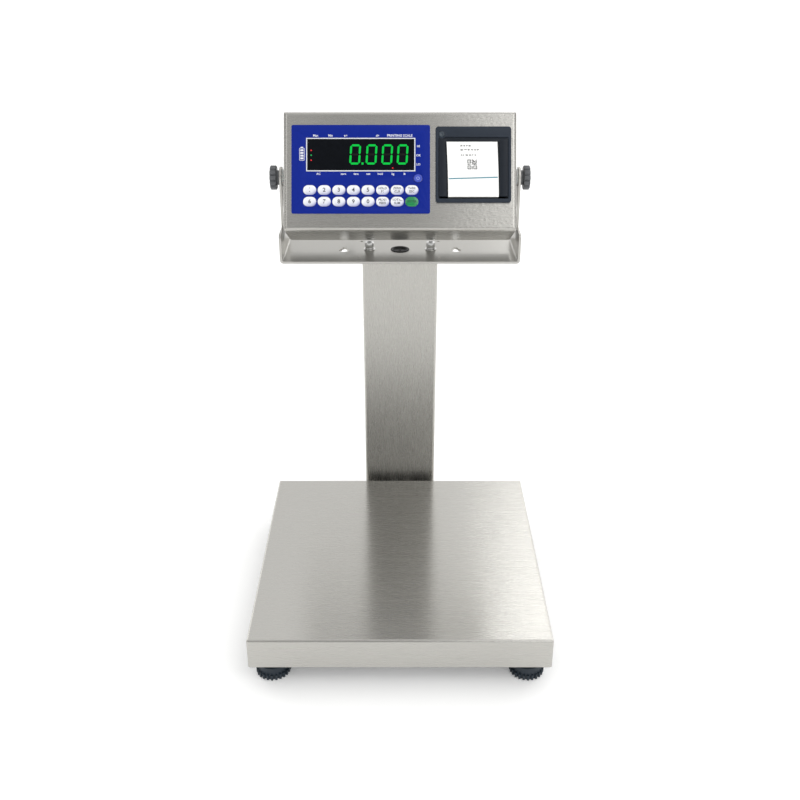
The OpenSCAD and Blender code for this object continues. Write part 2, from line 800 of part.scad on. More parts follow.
module keypad_overlay() {
    color("mediumblue") difference() {
        at_face(overlay_x, overlay_z, -overlay_t) linear_extrude(overlay_t)
            round_rect(overlay_w, overlay_h, 2);
        at_face(overlay_x, window_z, -overlay_t - 1) linear_extrude(overlay_t + 2)
            square([window_w, window_h], center = true);
        for (i = [0:len(key_names) - 1]) key_place(i) translate([0, 0, -overlay_t - 1])
            linear_extrude(overlay_t + 2) oval(key_w + 2 * slip_gap, key_h + 2 * slip_gap);
        power_place() translate([0, 0, -overlay_t - 1]) cylinder(r = power_r + slip_gap, h = overlay_t + 2);
    }
}

module display_window() {
    color("black") at_face(overlay_x, window_z, -overlay_t) linear_extrude(overlay_t)
        square([window_w, window_h], center = true);
}

module display_module() {
    color("darkslategray") at_face(overlay_x, window_z, head_sheet) linear_extrude(board_depth - head_sheet)
        square([window_w - 12, window_h - 8], center = true);
}

module main_board() {
    color("darkgreen") {
        at_face(overlay_x, 0, board_depth) linear_extrude(board_t) square([board_w, board_h], center = true);
        for (i = [0:len(key_names) - 1]) key_place(i) translate([0, 0, board_depth - 2]) cylinder(r = 2.5, h = 2);
        power_place() translate([0, 0, board_depth - 2]) cylinder(r = 2.5, h = 2);
        for (x = [-40, 0, 34]) at_face(overlay_x + x, 18, board_depth + board_t) linear_extrude(5)
            square([22, 16], center = true);
    }
}

module battery() {
    color("royalblue") at_face(-68, 10, shell_d + gasket_t - 22) linear_extrude(22) round_rect(76, 40, 4);
}

module cable_gland() {
    out = shell_d + gasket_t + cover_t;
    color("dimgray") difference() {
        union() {
            at_face(gland_x, fitting_z, out) cylinder(r = 11, h = 5, $fn = 6);
            at_face(gland_x, fitting_z, out + 5) cylinder(r1 = 9, r2 = 6.4, h = 12);
            at_face(gland_x, fitting_z, out - cover_t - 7) cylinder(r = 7.9, h = cover_t + 7);
            at_face(gland_x, fitting_z, out - cover_t - 4) cylinder(r = 11, h = 4, $fn = 6);
        }
        at_face(gland_x, fitting_z, 0) cylinder(r = 3.4, h = big);
    }
}

module power_inlet() {
    out = shell_d + gasket_t + cover_t;
    color("black") difference() {
        union() {
            at_face(inlet_x, fitting_z, out) cylinder(r = 8, h = 2.5);
            at_face(inlet_x, fitting_z, out - cover_t - 12) cylinder(r = 5.9, h = cover_t + 12);
            at_face(inlet_x, fitting_z, out - cover_t - 3) cylinder(r = 8.5, h = 3, $fn = 6);
        }
        at_face(inlet_x, fitting_z, out - 8) ring(3.2, 1.1, 20);
    }
}

// ---- keys ----

// a cap in the overlay's hole with a stem that reaches through the housing's front
module key_body(shape_r) {
    translate([0, 0, -overlay_t - key_proud]) linear_extrude(key_proud + key_back) children();
    translate([0, 0, key_back - overlay_t]) cylinder(r = key_stem_r,
        h = board_depth - 2 - key_travel - 0.1 - key_back + overlay_t);
}

module key(i) {
    color(key_names[i] == "enter" ? "seagreen" : "white") key_place(i) key_body() oval(key_w, key_h);
}

module power_key() {
    color("cornflowerblue") power_place() key_body() circle(power_r);
}

// ---- printer ----

module printer_bezel() {
    color("darkslategray") difference() {
        union() {
            at_face(printer_x, printer_z, -bezel_t) linear_extrude(bezel_t) round_rect(bezel_w, bezel_h, 3);
            at_face(printer_x, printer_z, 0) difference() {
                linear_extrude(well_d) square([well_w, well_h], center = true);
                translate([0, 0, -1]) linear_extrude(well_d - well_wall + 1)
                    square([well_w - 2 * well_wall, well_h - 2 * well_wall], center = true);
            }
            for (s = [-1, 1]) along_x(printer_x + s * (well_in - spigot_l / 2), roll_depth, roll_z)
                cylinder(r = core_r - thread_gap, h = spigot_l, center = true);
        }
        at_face(printer_x, (opening_top + opening_end) / 2, -bezel_t - 1) linear_extrude(bezel_t + 1)
            square([opening_w, opening_top - opening_end], center = true);
        along_x(printer_x, hinge_y, hinge_z)
            cylinder(r = hinge_pin_r + thread_gap, h = opening_w + 3.4, center = true);
        at_face(feed_x, feed_z, -bezel_t - 1) cylinder(r = feed_r + thread_gap, h = 3.4);
    }
}

module print_head() {
    color("silver") at_head()
        translate([printer_x - 27, 3 - head_d / 2, printer_z - well_h / 2 + well_wall])
        cube([54, 12, platen_z - platen_r - 1.2 - (printer_z - well_h / 2 + well_wall)]);
}

module printer_door() {
    color("darkslategray") difference() {
        union() {
            at_face(printer_x, hinge_z - door_h / 2, -bezel_t) linear_extrude(door_t)
                square([door_w, door_h], center = true);
            along_x(printer_x, hinge_y, hinge_z) cylinder(r = hinge_r, h = door_w, center = true);
            along_x(printer_x, hinge_y, hinge_z) cylinder(r = hinge_pin_r, h = door_w + 3.6, center = true);
            for (s = [-1, 1]) at_face(printer_x + s * (cheek_x + cheek_t / 2), platen_z + 1, door_t - bezel_t)
                linear_extrude(platen_depth + 4 - door_t + bezel_t) square([cheek_t, 14], center = true);
        }
        along_x(printer_x, platen_depth, platen_z)
            cylinder(r = platen_shaft_r + thread_gap, h = 2 * cheek_x + 10, center = true);
    }
}

// side view of the strip, as depth and height: out under the door, then up its front,
// where its upper part curls away by label_lift
module strip_side() {
    front = -bezel_t - 0.1;
    low = door_end_z - 0.15;
    run = door_h - 4;
    steps = 12;
    lay = [for (i = [0:steps]) let (u = i / steps)
        [front - label_lift * pow(max(0, u - 0.45) / 0.55, 2), low + u * run]];
    polygon(concat([[front + 1.6, low]], lay,
        [for (i = [steps:-1:1]) [lay[i][0] - label_t, lay[i][1]]],
        [[front - label_t, low - label_t], [front + 1.6, low - label_t]]));
}

module label_strip() {
    color("white") at_head() translate([printer_x, -head_d / 2, 0]) rotate([90, 0, 90])
        linear_extrude(label_w, center = true) strip_side();
}

module platen_roller() {
    color("dimgray") {
        along_x(printer_x, platen_depth, platen_z) cylinder(r = platen_r, h = platen_l, center = true);
        along_x(printer_x, platen_depth, platen_z)
            cylinder(r = platen_shaft_r, h = 2 * (cheek_x + cheek_t) + 2, center = true);
    }
}

module paper_roll() {
    color("white") along_x(printer_x, roll_depth, roll_z) translate([0, 0, -roll_l / 2])
        ring(roll_r, core_r, roll_l);
}

module feed_button() {
    color("black") at_face(feed_x, feed_z, -bezel_t - feed_proud)
        cylinder(r = feed_r, h = feed_proud + 2.4 - feed_travel - 0.1);
}

// ---- clamp knobs ----

module knob(side) {
    color("dimgray") at_head() rotate([0, side * 90, 0]) {
        translate([0, 0, bracket_w / 2 + face_gap]) cylinder(r = 8, h = knob_hub_t);
        translate([0, 0, bracket_w / 2 + face_gap + knob_hub_t])
            linear_extrude(knob_grip_t) lobed_disc(knob_r, knob_lobes, 1.8);
        translate([0, 0, head_w / 2 - boss_in]) cylinder(r = pivot_r, h = bracket_w / 2 - head_w / 2 + boss_in + 1);
    }
}

base_frame();
column_bars();
foot_lock_nuts();
load_cell();
cell_spacer_lower();
cell_bolts_lower();
stop_screws();
cell_lead();
column();
column_bolts();
head_bracket();
bracket_screws();
cable_grommet();
load_frame();
cell_spacer_upper();
cell_bolts_upper();
pan_pads();
weighing_pan();
foot(-1, -1);  // foot_front_left
foot(1, -1);  // foot_front_right
foot(-1, 1);  // foot_rear_left
foot(1, 1);  // foot_rear_right
front_shell();
rear_cover();
cover_gasket();
cover_screws();
pivot_washers();
keypad_overlay();
display_window();
display_module();
main_board();
battery();
cable_gland();
power_inlet();
printer_bezel();
print_head();
knob(-1);  // left_knob
knob(1);  // right_knob
printer_door();
label_strip();
platen_roller();
paper_roll();
feed_button();
power_key();
for (i = [0:len(key_names) - 1]) key(i);
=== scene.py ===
"""Finishes the label printing scale: its steelwork, feet, keypad, display, printer and stage."""

import json
import random
from math import atan2, cos, hypot, pi, radians, sin

import bmesh
import bpy
from bpy.props import FloatProperty, FloatVectorProperty, IntProperty, PointerProperty
from mathutils import Matrix, Vector
from mathutils.geometry import tessellate_polygon


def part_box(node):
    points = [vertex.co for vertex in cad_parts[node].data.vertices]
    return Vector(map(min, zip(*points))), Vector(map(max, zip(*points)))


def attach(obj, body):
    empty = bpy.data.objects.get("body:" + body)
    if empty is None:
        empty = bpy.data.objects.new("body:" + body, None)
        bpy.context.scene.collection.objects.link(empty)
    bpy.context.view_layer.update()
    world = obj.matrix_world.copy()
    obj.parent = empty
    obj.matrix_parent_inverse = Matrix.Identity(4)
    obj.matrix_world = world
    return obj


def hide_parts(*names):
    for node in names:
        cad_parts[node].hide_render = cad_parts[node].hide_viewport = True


bl_info = {
    "name": "Label Printing Scale",
    "version": (1, 0, 0),
    "blender": (4, 5, 0),
    "location": "View3D > Sidebar > Scale",
    "description": "Builds the finished look of a bench scale with a label printer",
    "category": "Object",
}

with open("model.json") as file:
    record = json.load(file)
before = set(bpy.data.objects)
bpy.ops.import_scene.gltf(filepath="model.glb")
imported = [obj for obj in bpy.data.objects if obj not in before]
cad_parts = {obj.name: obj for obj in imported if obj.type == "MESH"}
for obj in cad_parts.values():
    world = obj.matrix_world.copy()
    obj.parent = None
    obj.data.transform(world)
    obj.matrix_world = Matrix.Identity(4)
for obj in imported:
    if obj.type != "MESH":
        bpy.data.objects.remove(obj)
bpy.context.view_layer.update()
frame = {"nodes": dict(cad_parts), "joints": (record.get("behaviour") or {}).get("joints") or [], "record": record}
NODES = frame["nodes"]
JOINTS = {joint["name"]: joint for joint in frame["joints"]}
BODY_OF = {n: body for body, nodes in frame["record"]["behaviour"]["bodies"].items() for n in nodes}

DIGIT_KEYS = "1234567890"
KEY_WORDS = {"hold": ("HOLD", "F1"), "zero": ("ZERO", "CLR"), "tare": ("TARE", "ESC"),
             "print": ("PRINT", "FEED"), "total": ("TOTAL", "SUM"), "enter": ("ENTER",)}
KEYS = ("1", "2", "3", "4", "5", "hold", "zero", "tare",
        "6", "7", "8", "9", "0", "print", "total", "enter")
FEET = ("front_left", "front_right", "rear_left", "rear_right")
KEY_SHADE_SIDE = (0.55, -0.30, -0.78)  # the side of a key whose rim takes a painted shade tint, in the scale's frame


# ---- places: each maps millimetres in its own frame to metres in the scale's frame ----

def in_mm(matrix):
    return matrix @ Matrix.Scale(0.001, 4)


def corners_of(points):
    return (Vector([min(p[i] for p in points) for i in range(3)]),
            Vector([max(p[i] for p in points) for i in range(3)]))


def span(node, place):
    """Lowest and highest corner of a CAD node, in millimetres, in a place's own frame."""
    back = place.inverted()
    return corners_of([back @ v.co for v in NODES[node].data.vertices])


PRESS = JOINTS["feed_press"]["axis"]
LEAN = atan2(-PRESS[2], PRESS[1])
FLOOR = in_mm(Matrix.Identity(4))
HEAD = in_mm(Matrix.Translation(JOINTS["head_tilt"]["pos_m"]) @ Matrix.Rotation(-LEAN, 4, "X"))
FACE = HEAD @ Matrix.Translation((0, span("front_shell", HEAD)[0].y, 0)) @ Matrix.Rotation(pi / 2, 4, "X")
BACK = (HEAD @ Matrix.Translation((0, span("rear_cover", HEAD)[1].y, 0)) @ Matrix.Rotation(-pi / 2, 4, "X")
        @ Matrix.Rotation(pi, 4, "Z"))


def seat(node, place, height=0.0):
    """A node's corners in a place, and the place moved to its middle at a height."""
    low, high = span(node, place)
    middle = (low + high) / 2
    return low, high, place @ Matrix.Translation((middle.x, middle.y, height))


def solids_of(node, place=FLOOR):
    """The middle and the extent of each separate solid of a node, in millimetres."""
    bm = bmesh.new()
    bm.from_mesh(NODES[node].data)
    bmesh.ops.remove_doubles(bm, verts=bm.verts, dist=1e-7)
    back = place.inverted()
    seen, solids = set(), []
    for start in bm.verts:
        if start in seen:
            continue
        group, waiting = [], [start]
        seen.add(start)
        while waiting:
            vert = waiting.pop()
            group.append(back @ vert.co)
            beside = {link.other_vert(vert) for link in vert.link_edges} - seen
            seen |= beside
            waiting.extend(beside)
        low, high = corners_of(group)
        solids.append(((low + high) / 2, high - low))
    bm.free()
    return sorted(solids, key=lambda s: (round(s[0].x, 1), round(s[0].y, 1)))


# ---- sizes and finishes that a user would change ----

def size(name, text, default, low, high):
    """A length in millimetres."""
    return FloatProperty(name=name, description=text, default=default, min=low, max=high)


def share(name, text, default):
    return FloatProperty(name=name, description=text, default=default, min=0.0, max=1.0, subtype="FACTOR")


def colour(name, text, default):
    return FloatVectorProperty(name=name, description=text, default=default, size=3, min=0.0, max=1.0,
                               subtype="COLOR")


def distance(name, text, default):
    return FloatProperty(name=name, description=text, default=default, unit="LENGTH", subtype="DISTANCE")


class ScaleSizes(bpy.types.PropertyGroup):
    """Lengths of the details, in millimetres."""

    tooth_count: IntProperty(name="Foot teeth", description="Teeth round each foot", default=24,
                             min=8, max=40)
    tooth_depth: size("Tooth depth", "How far a foot's teeth stand out", 2.1, 0.5, 3.0)
    thread_pitch: size("Thread pitch", "Pitch of the feet's studs", 1.25, 0.5, 2.0)
    key_rise: size("Key rise", "Height of a key's dome above its rim", 0.62, 0.1, 0.9)
    key_digit: size("Key digit", "Height of a key's digit", 6.0, 2.0, 8.0)
    digit_height: size("Digit height", "Height of the display's digits", 21.8, 10.0, 28.0)
    digit_width: size("Digit width", "Width of the display's digits", 11.8, 6.0, 16.0)
    digit_stroke: size("Digit stroke", "Width of a digit's segments", 2.2, 1.0, 4.0)
    window_line: size("Window line", "Width of the line round the window", 1.2, 0.5, 3.0)
    bezel_round: size("Bezel edge", "Rounding of the printer's outer edge", 0.9, 0.2, 1.4)
    channel_depth: size("Channel depth", "How deep the label's channel is in the door", 0.8, 0.2, 1.0)
    code_width: size("Code width", "Width of the label's square code", 10.2, 5.0, 20.0)
    knob_round: size("Knob edge", "Rounding of a knob's grip", 0.9, 0.2, 1.5)


class ScaleFinishes(bpy.types.PropertyGroup):
    """Colours and surface values."""

    steel: colour("Stainless steel", "Colour of the folded sheet", (0.50, 0.49, 0.462))
    steel_rough: share("Steel roughness", "Roughness of the folded sheet", 0.27)
    frame_steel: colour("Frame steel", "Colour of the frame below the pan", (0.33, 0.335, 0.34))
    foot: colour("Feet", "Colour of the feet's rubber", (0.011, 0.021, 0.033))
    overlay: colour("Keypad", "Colour of the keypad's sheet", (0.008, 0.023, 0.26))
    glass: colour("Display", "Colour of the display's window", (0.004, 0.005, 0.007))
    lit: colour("Digits", "Light of the digits", (0.0, 0.56, 0.055))
    key: colour("Keys", "Colour of the keys", (0.90, 0.91, 0.94))
    enter_key: colour("Green key", "Colour of the green key", (0.0, 0.24, 0.065))
    power_key: colour("Power key", "Colour of the power key", (0.035, 0.07, 0.50))
    printer: colour("Printer", "Colour of the printer's plastic", (0.024, 0.032, 0.046))
    knob: colour("Knobs", "Colour of the knobs", (0.10, 0.105, 0.112))
    label: colour("Label", "Colour of the label's paper", (0.90, 0.90, 0.885))
    label_line: colour("Label line", "Colour of the line across the label", (0.07, 0.26, 0.33))


class ScaleStage(bpy.types.PropertyGroup):
    """Camera, floor and light."""

    camera_ahead: distance("Camera ahead", "Camera's distance before the pan", 0.745)
    camera_above: distance("Camera above", "Camera's height over the pan", 0.635)
    camera_pitch: FloatProperty(name="Camera pitch", description="How far the camera looks down",
                                default=radians(26.61), subtype="ANGLE", unit="ROTATION")
    lens: FloatProperty(name="Lens", description="Focal length in millimetres", default=44.06, min=10.0)
    floor_reach: distance("Floor", "Half the floor's width", 40.0)
    sky: FloatProperty(name="Room light", description="Strength of the room's light", default=1.0, min=0.0)
    key_light: FloatProperty(name="Key light", description="Power of the main light", default=2.6, min=0.0,
                             subtype="POWER")


def sizes():
    return bpy.context.scene.scale_sizes


def look():
    return bpy.context.scene.scale_finishes


# ---- outlines: each takes how far it is drawn in, and gives its corners anticlockwise ----

def rounded(width, height, radius, x=0.0, y=0.0, steps=6):
    def outline(inset=0.0):
        half_w, half_h, r = width / 2 - inset, height / 2 - inset, max(radius - inset, 0.01)
        return [(x + sx * (half_w - r) + r * cos(radians(a + 90 * k / steps)),
                 y + sy * (half_h - r) + r * sin(radians(a + 90 * k / steps)))
                for sx, sy, a in ((1, 1, 0), (-1, 1, 90), (-1, -1, 180), (1, -1, 270))
                for k in range(steps + 1)]
    return outline


def disc(radius, x=0.0, y=0.0, steps=40):
    def outline(inset=0.0):
        r = radius - inset
        return [(x + r * cos(2 * pi * k / steps), y + r * sin(2 * pi * k / steps)) for k in range(steps)]
    return outline


def hexagon(radius, draw=1.0):
    """A hexagon that follows its inset by a share."""
    def outline(inset=0.0):
        r = radius - draw * inset
        return [(r * cos(pi / 3 * k), r * sin(pi / 3 * k)) for k in range(6)]
    return outline


def oval(width, height, x=0.0, y=0.0, steps=12):
    def outline(inset=0.0):
        run, r = (width - height) / 2, max(height / 2 - inset, 0.01)
        return [(x + side * run + r * cos(a + pi * k / steps), y + r * sin(a + pi * k / steps))
                for side, a in ((1, -pi / 2), (-1, pi / 2)) for k in range(steps + 1)]
    return outline


def lobed(radius, lobes, depth, steps=12):
    """A grip with round lobes and narrow valleys between them."""
    def reach(angle):
        return radius - depth * (1 - abs(sin(lobes * angle / 2))) ** 1.6

    def outline(inset=0.0):
        turns = [2 * pi * k / (lobes * steps) for k in range(lobes * steps)]
        return [((reach(a) - inset) * cos(a), (reach(a) - inset) * sin(a)) for a in turns]
    return outline


def fixed(points):
    """An outline that is the same at every inset, put anticlockwise."""
    area = sum(a[0] * b[1] - b[0] * a[1] for a, b in zip(points, points[1:] + points[:1]))
    ordered = points if area > 0 else points[::-1]
    return lambda inset=0.0: ordered


def edged(low, high, edge, steps=3):
    """Heights and insets of a plate whose front edge is rounded."""
    turns = [pi / 2 * k / steps for k in range(steps + 1)]
    return [(low, 0.0)] + [(high - edge * (1 - sin(a)), edge * (1 - cos(a))) for a in turns]


def both_edged(low, high, edge, steps=3):
    """Heights and insets of a plate whose back and front edges are rounded."""
    turns = [pi / 2 * k / steps for k in range(steps + 1)]
    back = [(low + edge * (1 - cos(a)), edge * (1 - sin(a))) for a in turns]
    return back + edged(low, high, edge, steps)[1:]


def thread(radius, depth, start, step, count):
    """Crests and roots of a thread, from its lower end."""
    return [(radius - (depth if k % 2 else 0.0), start + k * step) for k in range(count)]


# ---- solids, added to a bmesh ----

def add_plate(bm, outer, holes, layers, place=FLOOR, index=0):
    """A closed plate with holes; layers are (height, inset) from its back to its front."""
    stacks = []
    for shape, way in [(outer, 1)] + [(hole, -1) for hole in holes]:
        loops = [[(x, y, z) for x, y in shape(inset * way)] for z, inset in layers]
        verts = [[bm.verts.new(place @ Vector(c)) for c in loop] for loop in loops]
        for low, high in zip(verts, verts[1:]):
            for i in range(len(low)):
                j = (i + 1) % len(low)
                quad = (low[i], low[j], high[j], high[i])
                bm.faces.new(quad if way > 0 else quad[::-1]).material_index = index
        stacks.append((loops, verts))
    for end, up in ((0, -1), (-1, 1)):
        flat = [[Vector((c[0], c[1], 0)) for c in loops[end]] for loops, _ in stacks]
        corners = [v for _, verts in stacks for v in verts[end]]
        points = [c for loop in flat for c in loop]
        for a, b, c in tessellate_polygon(flat):
            turn = (points[b] - points[a]).cross(points[c] - points[a]).z
            if abs(turn) > 1e-12:
                face = bm.faces.new([corners[i] for i in ((a, b, c) if turn * up > 0 else (a, c, b))])
                face.material_index = index
                face.tag = True


def add_lathe(bm, profile, place=FLOOR, steps=40, index=0, closed=False):
    """A turned solid; the profile is (radius, height) from its lowest point up its outside."""
    rings = []
    for radius, height in profile:
        count = 1 if radius < 1e-6 else steps
        angles = [2 * pi * k / steps for k in range(count)]
        rings.append([bm.verts.new(place @ Vector((radius * cos(a), radius * sin(a), height)))
                      for a in angles])
    for low, high in list(zip(rings, rings[1:])) + ([(rings[-1], rings[0])] if closed else []):
        for i in range(steps):
            j = (i + 1) % steps
            if len(low) == 1:
                face = (low[0], high[j], high[i])
            elif len(high) == 1:
                face = (low[i], low[j], high[0])
            else:
                face = (low[i], low[j], high[j], high[i])
            bm.faces.new(face).material_index = index


def add_block(bm, low, high, place=FLOOR, edge=0.25, index=0):
    """A box with rounded upright and front edges."""
    outline = rounded(high[0] - low[0], high[1] - low[1], edge * 2,
                      (low[0] + high[0]) / 2, (low[1] + high[1]) / 2, 3)
    add_plate(bm, outline, [], both_edged(low[2], high[2], edge, 2), place, index)


def add_lettering(bm, text, height, x, y, surface, index, thickness=0.05):
    """Raised print on the face, on a surface that is a function from (x, y) to its height."""
    curve = bpy.data.curves.new("lettering", "FONT")
    curve.body = text
    curve.size = height
    curve.align_x = "CENTER"
    curve.align_y = "CENTER"
    curve.space_line = 0.85
    curve.resolution_u = 2
    curve.extrude = thickness / 2
    curve.offset = height * 0.022
    holder = bpy.data.objects.new("lettering", curve)
    bpy.context.scene.collection.objects.link(holder)
    bpy.context.view_layer.update()
    mesh = bpy.data.meshes.new_from_object(holder)
    letters = bmesh.new()
    letters.from_mesh(mesh)
    bmesh.ops.remove_doubles(letters, verts=letters.verts, dist=1e-5)
    bmesh.ops.dissolve_degenerate(letters, edges=letters.edges, dist=1e-6)
    made = {}
    for vert in letters.verts:
        u, v = vert.co.x + x, vert.co.y + y
        made[vert] = bm.verts.new(FACE @ Vector((u, v, vert.co.z + surface(u, v))))
    for face in letters.faces:
        bm.faces.new([made[v] for v in face.verts]).material_index = index
    letters.free()
    bpy.data.objects.remove(holder)
    bpy.data.curves.remove(curve)
    bpy.data.meshes.remove(mesh)


def make_mesh(name, bm):
    """Smooth walls and flat ends: a plate's ends carry the tag."""
    for face in bm.faces:
        face.smooth = not face.tag
    mesh = bpy.data.meshes.new(name)
    bm.to_mesh(mesh)
    bm.free()
    return mesh


def finish_piece(name, source, materials, node, angle=32.0):
    """Makes the object from a bmesh or a mesh, and lets it stand for a CAD node."""
    mesh = make_mesh(name, source) if isinstance(source, bmesh.types.BMesh) else source
    mesh.name = name
    if not mesh.materials:
        for material in materials:
            mesh.materials.append(material)
    mesh.set_sharp_from_angle(angle=radians(angle))
    obj = bpy.data.objects.new(name, mesh)
    bpy.context.scene.collection.objects.link(obj)
    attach(obj, BODY_OF[node])
    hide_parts(node)


def dress(names, material):
    """Gives carried-over CAD nodes their material."""
    for name in names.split():
        mesh = NODES[name].data
        mesh.materials.clear()
        mesh.materials.append(material)


# ---- node trees ----

def add_node(tree, kind, feeds=None, **settings):
    """Adds a node; feeds gives each input its value or the output that drives it."""
    node = tree.nodes.new(kind)
    for name, value in settings.items():
        setattr(node, name, value)
    for socket, value in (feeds or {}).items():
        if isinstance(value, bpy.types.NodeSocket):
            tree.links.new(value, node.inputs[socket])
        else:
            node.inputs[socket].default_value = value
    return node


def worked(tree, kind, a, b=0.0):
    """A sum, product or other calculation."""
    return add_node(tree, "ShaderNodeMath", {0: a, 1: b}, operation=kind).outputs["Value"]


def ramp(tree, source, low, high, to_low=0.0, to_high=1.0, shape="LINEAR"):
    """Carries one range of a value over to another."""
    feeds = {"Value": source, "From Min": low, "From Max": high, "To Min": to_low, "To Max": to_high}
    return add_node(tree, "ShaderNodeMapRange", feeds, interpolation_type=shape).outputs["Result"]


def tinted(tree, factor, first, second):
    """A mix of two colours."""
    return add_node(tree, "ShaderNodeMix", {0: factor, 6: first, 7: second}, data_type="RGBA").outputs[2]


def facing(tree, way):
    """How far the flat surface faces a direction."""
    flat = add_node(tree, "ShaderNodeNewGeometry").outputs["Normal"]
    return add_node(tree, "ShaderNodeVectorMath", {0: way, 1: flat}, operation="DOT_PRODUCT").outputs["Value"]


def new_tree(name, *inputs):
    """A tree with named inputs, and what its input node gives."""
    tree = bpy.data.node_groups.new(name, "GeometryNodeTree")
    for label, kind in inputs + (("Piece", "Object"), ("Finish", "Material")):
        tree.interface.new_socket(label, in_out="INPUT", socket_type="NodeSocket" + kind)
    tree.interface.new_socket("Pieces", in_out="OUTPUT", socket_type="NodeSocketGeometry")
    return tree, add_node(tree, "NodeGroupInput").outputs


def end_tree(tree, geometry, given):
    """Makes the copies real, gives them the material and hands them out."""
    real = add_node(tree, "GeometryNodeRealizeInstances", {"Geometry": geometry})
    paint = add_node(tree, "GeometryNodeSetMaterial",
                     {"Geometry": real.outputs[0], "Material": given["Finish"]})
    add_node(tree, "NodeGroupOutput", {"Pieces": paint.outputs[0]})
    return tree


def repeat_tree():
    """Sets a piece on each point, turned about its own axis by a seeded amount."""
    name = "Repeat on points"
    if name in bpy.data.node_groups:
        return bpy.data.node_groups[name]
    tree, given = new_tree(name, ("Points", "Geometry"), ("Size", "Float"), ("Turn", "Float"),
                           ("Seed", "Int"))
    turn = add_node(tree, "FunctionNodeRandomValue", {3: given["Turn"], "Seed": given["Seed"]},
                    data_type="FLOAT")
    about = add_node(tree, "ShaderNodeCombineXYZ", {"Z": turn.outputs[1]})
    piece = add_node(tree, "GeometryNodeObjectInfo", {"Object": given["Piece"]})
    placed = add_node(tree, "GeometryNodeInstanceOnPoints",
                      {"Points": given["Points"], "Instance": piece.outputs["Geometry"],
                       "Rotation": about.outputs["Vector"], "Scale": given["Size"]})
    return end_tree(tree, placed.outputs["Instances"], given)


def ring_tree():
    """Sets a piece round a circle, each turned to face outwards."""
    name = "Repeat round a circle"
    if name in bpy.data.node_groups:
        return bpy.data.node_groups[name]
    tree, given = new_tree(name, ("Base", "Geometry"), ("Count", "Int"), ("Radius", "Float"))
    circle = add_node(tree, "GeometryNodeMeshCircle", {"Vertices": given["Count"], "Radius": given["Radius"]})
    part = worked(tree, "DIVIDE", add_node(tree, "GeometryNodeInputIndex").outputs["Index"], given["Count"])
    about = add_node(tree, "ShaderNodeCombineXYZ", {"Z": worked(tree, "MULTIPLY", part, 2 * pi)})
    piece = add_node(tree, "GeometryNodeObjectInfo", {"Object": given["Piece"]})
    placed = add_node(tree, "GeometryNodeInstanceOnPoints",
                      {"Points": circle.outputs["Mesh"], "Instance": piece.outputs["Geometry"],
                       "Rotation": about.outputs["Vector"]})
    joined = add_node(tree, "GeometryNodeJoinGeometry", {"Geometry": placed.outputs["Instances"]})
    tree.links.new(given["Base"], joined.inputs["Geometry"])
    return end_tree(tree, joined.outputs["Geometry"], given)


def run_tree(tree, base, shape, **values):
    """Runs a tree that repeats a shape on a mesh, and gives the result as a plain mesh."""
    piece = bpy.data.objects.new("piece", make_mesh("piece", shape))
    holder = bpy.data.objects.new("points", base)
    for obj in (piece, holder):
        bpy.context.scene.collection.objects.link(obj)
    modifier = holder.modifiers.new("Repeat", "NODES")
    modifier.node_group = tree
    values["Piece"] = piece
    for item in tree.interface.items_tree:
        if item.in_out == "INPUT" and item.name in values:
            modifier[item.identifier] = values[item.name]
    bpy.context.view_layer.update()
    graph = bpy.context.evaluated_depsgraph_get()
    mesh = bpy.data.meshes.new_from_object(holder.evaluated_get(graph))
    holder.modifiers.remove(modifier)
    bpy.data.objects.remove(holder)
    bpy.data.objects.remove(piece)
    return mesh


def repeated(name, shape, points, place, material, node, turn=0.0, seed=1):
    """One object with the shape, in millimetres, at each point of a place."""
    base = bpy.data.meshes.new(name + "_points")
    base.from_pydata([Vector(p) for p in points], [], [])
    mesh = run_tree(repeat_tree(), base, shape, Size=1.0, Turn=turn, Seed=seed, Finish=material)
    mesh.transform(place)
    finish_piece(name, mesh, [material], node)


# ---- materials ----

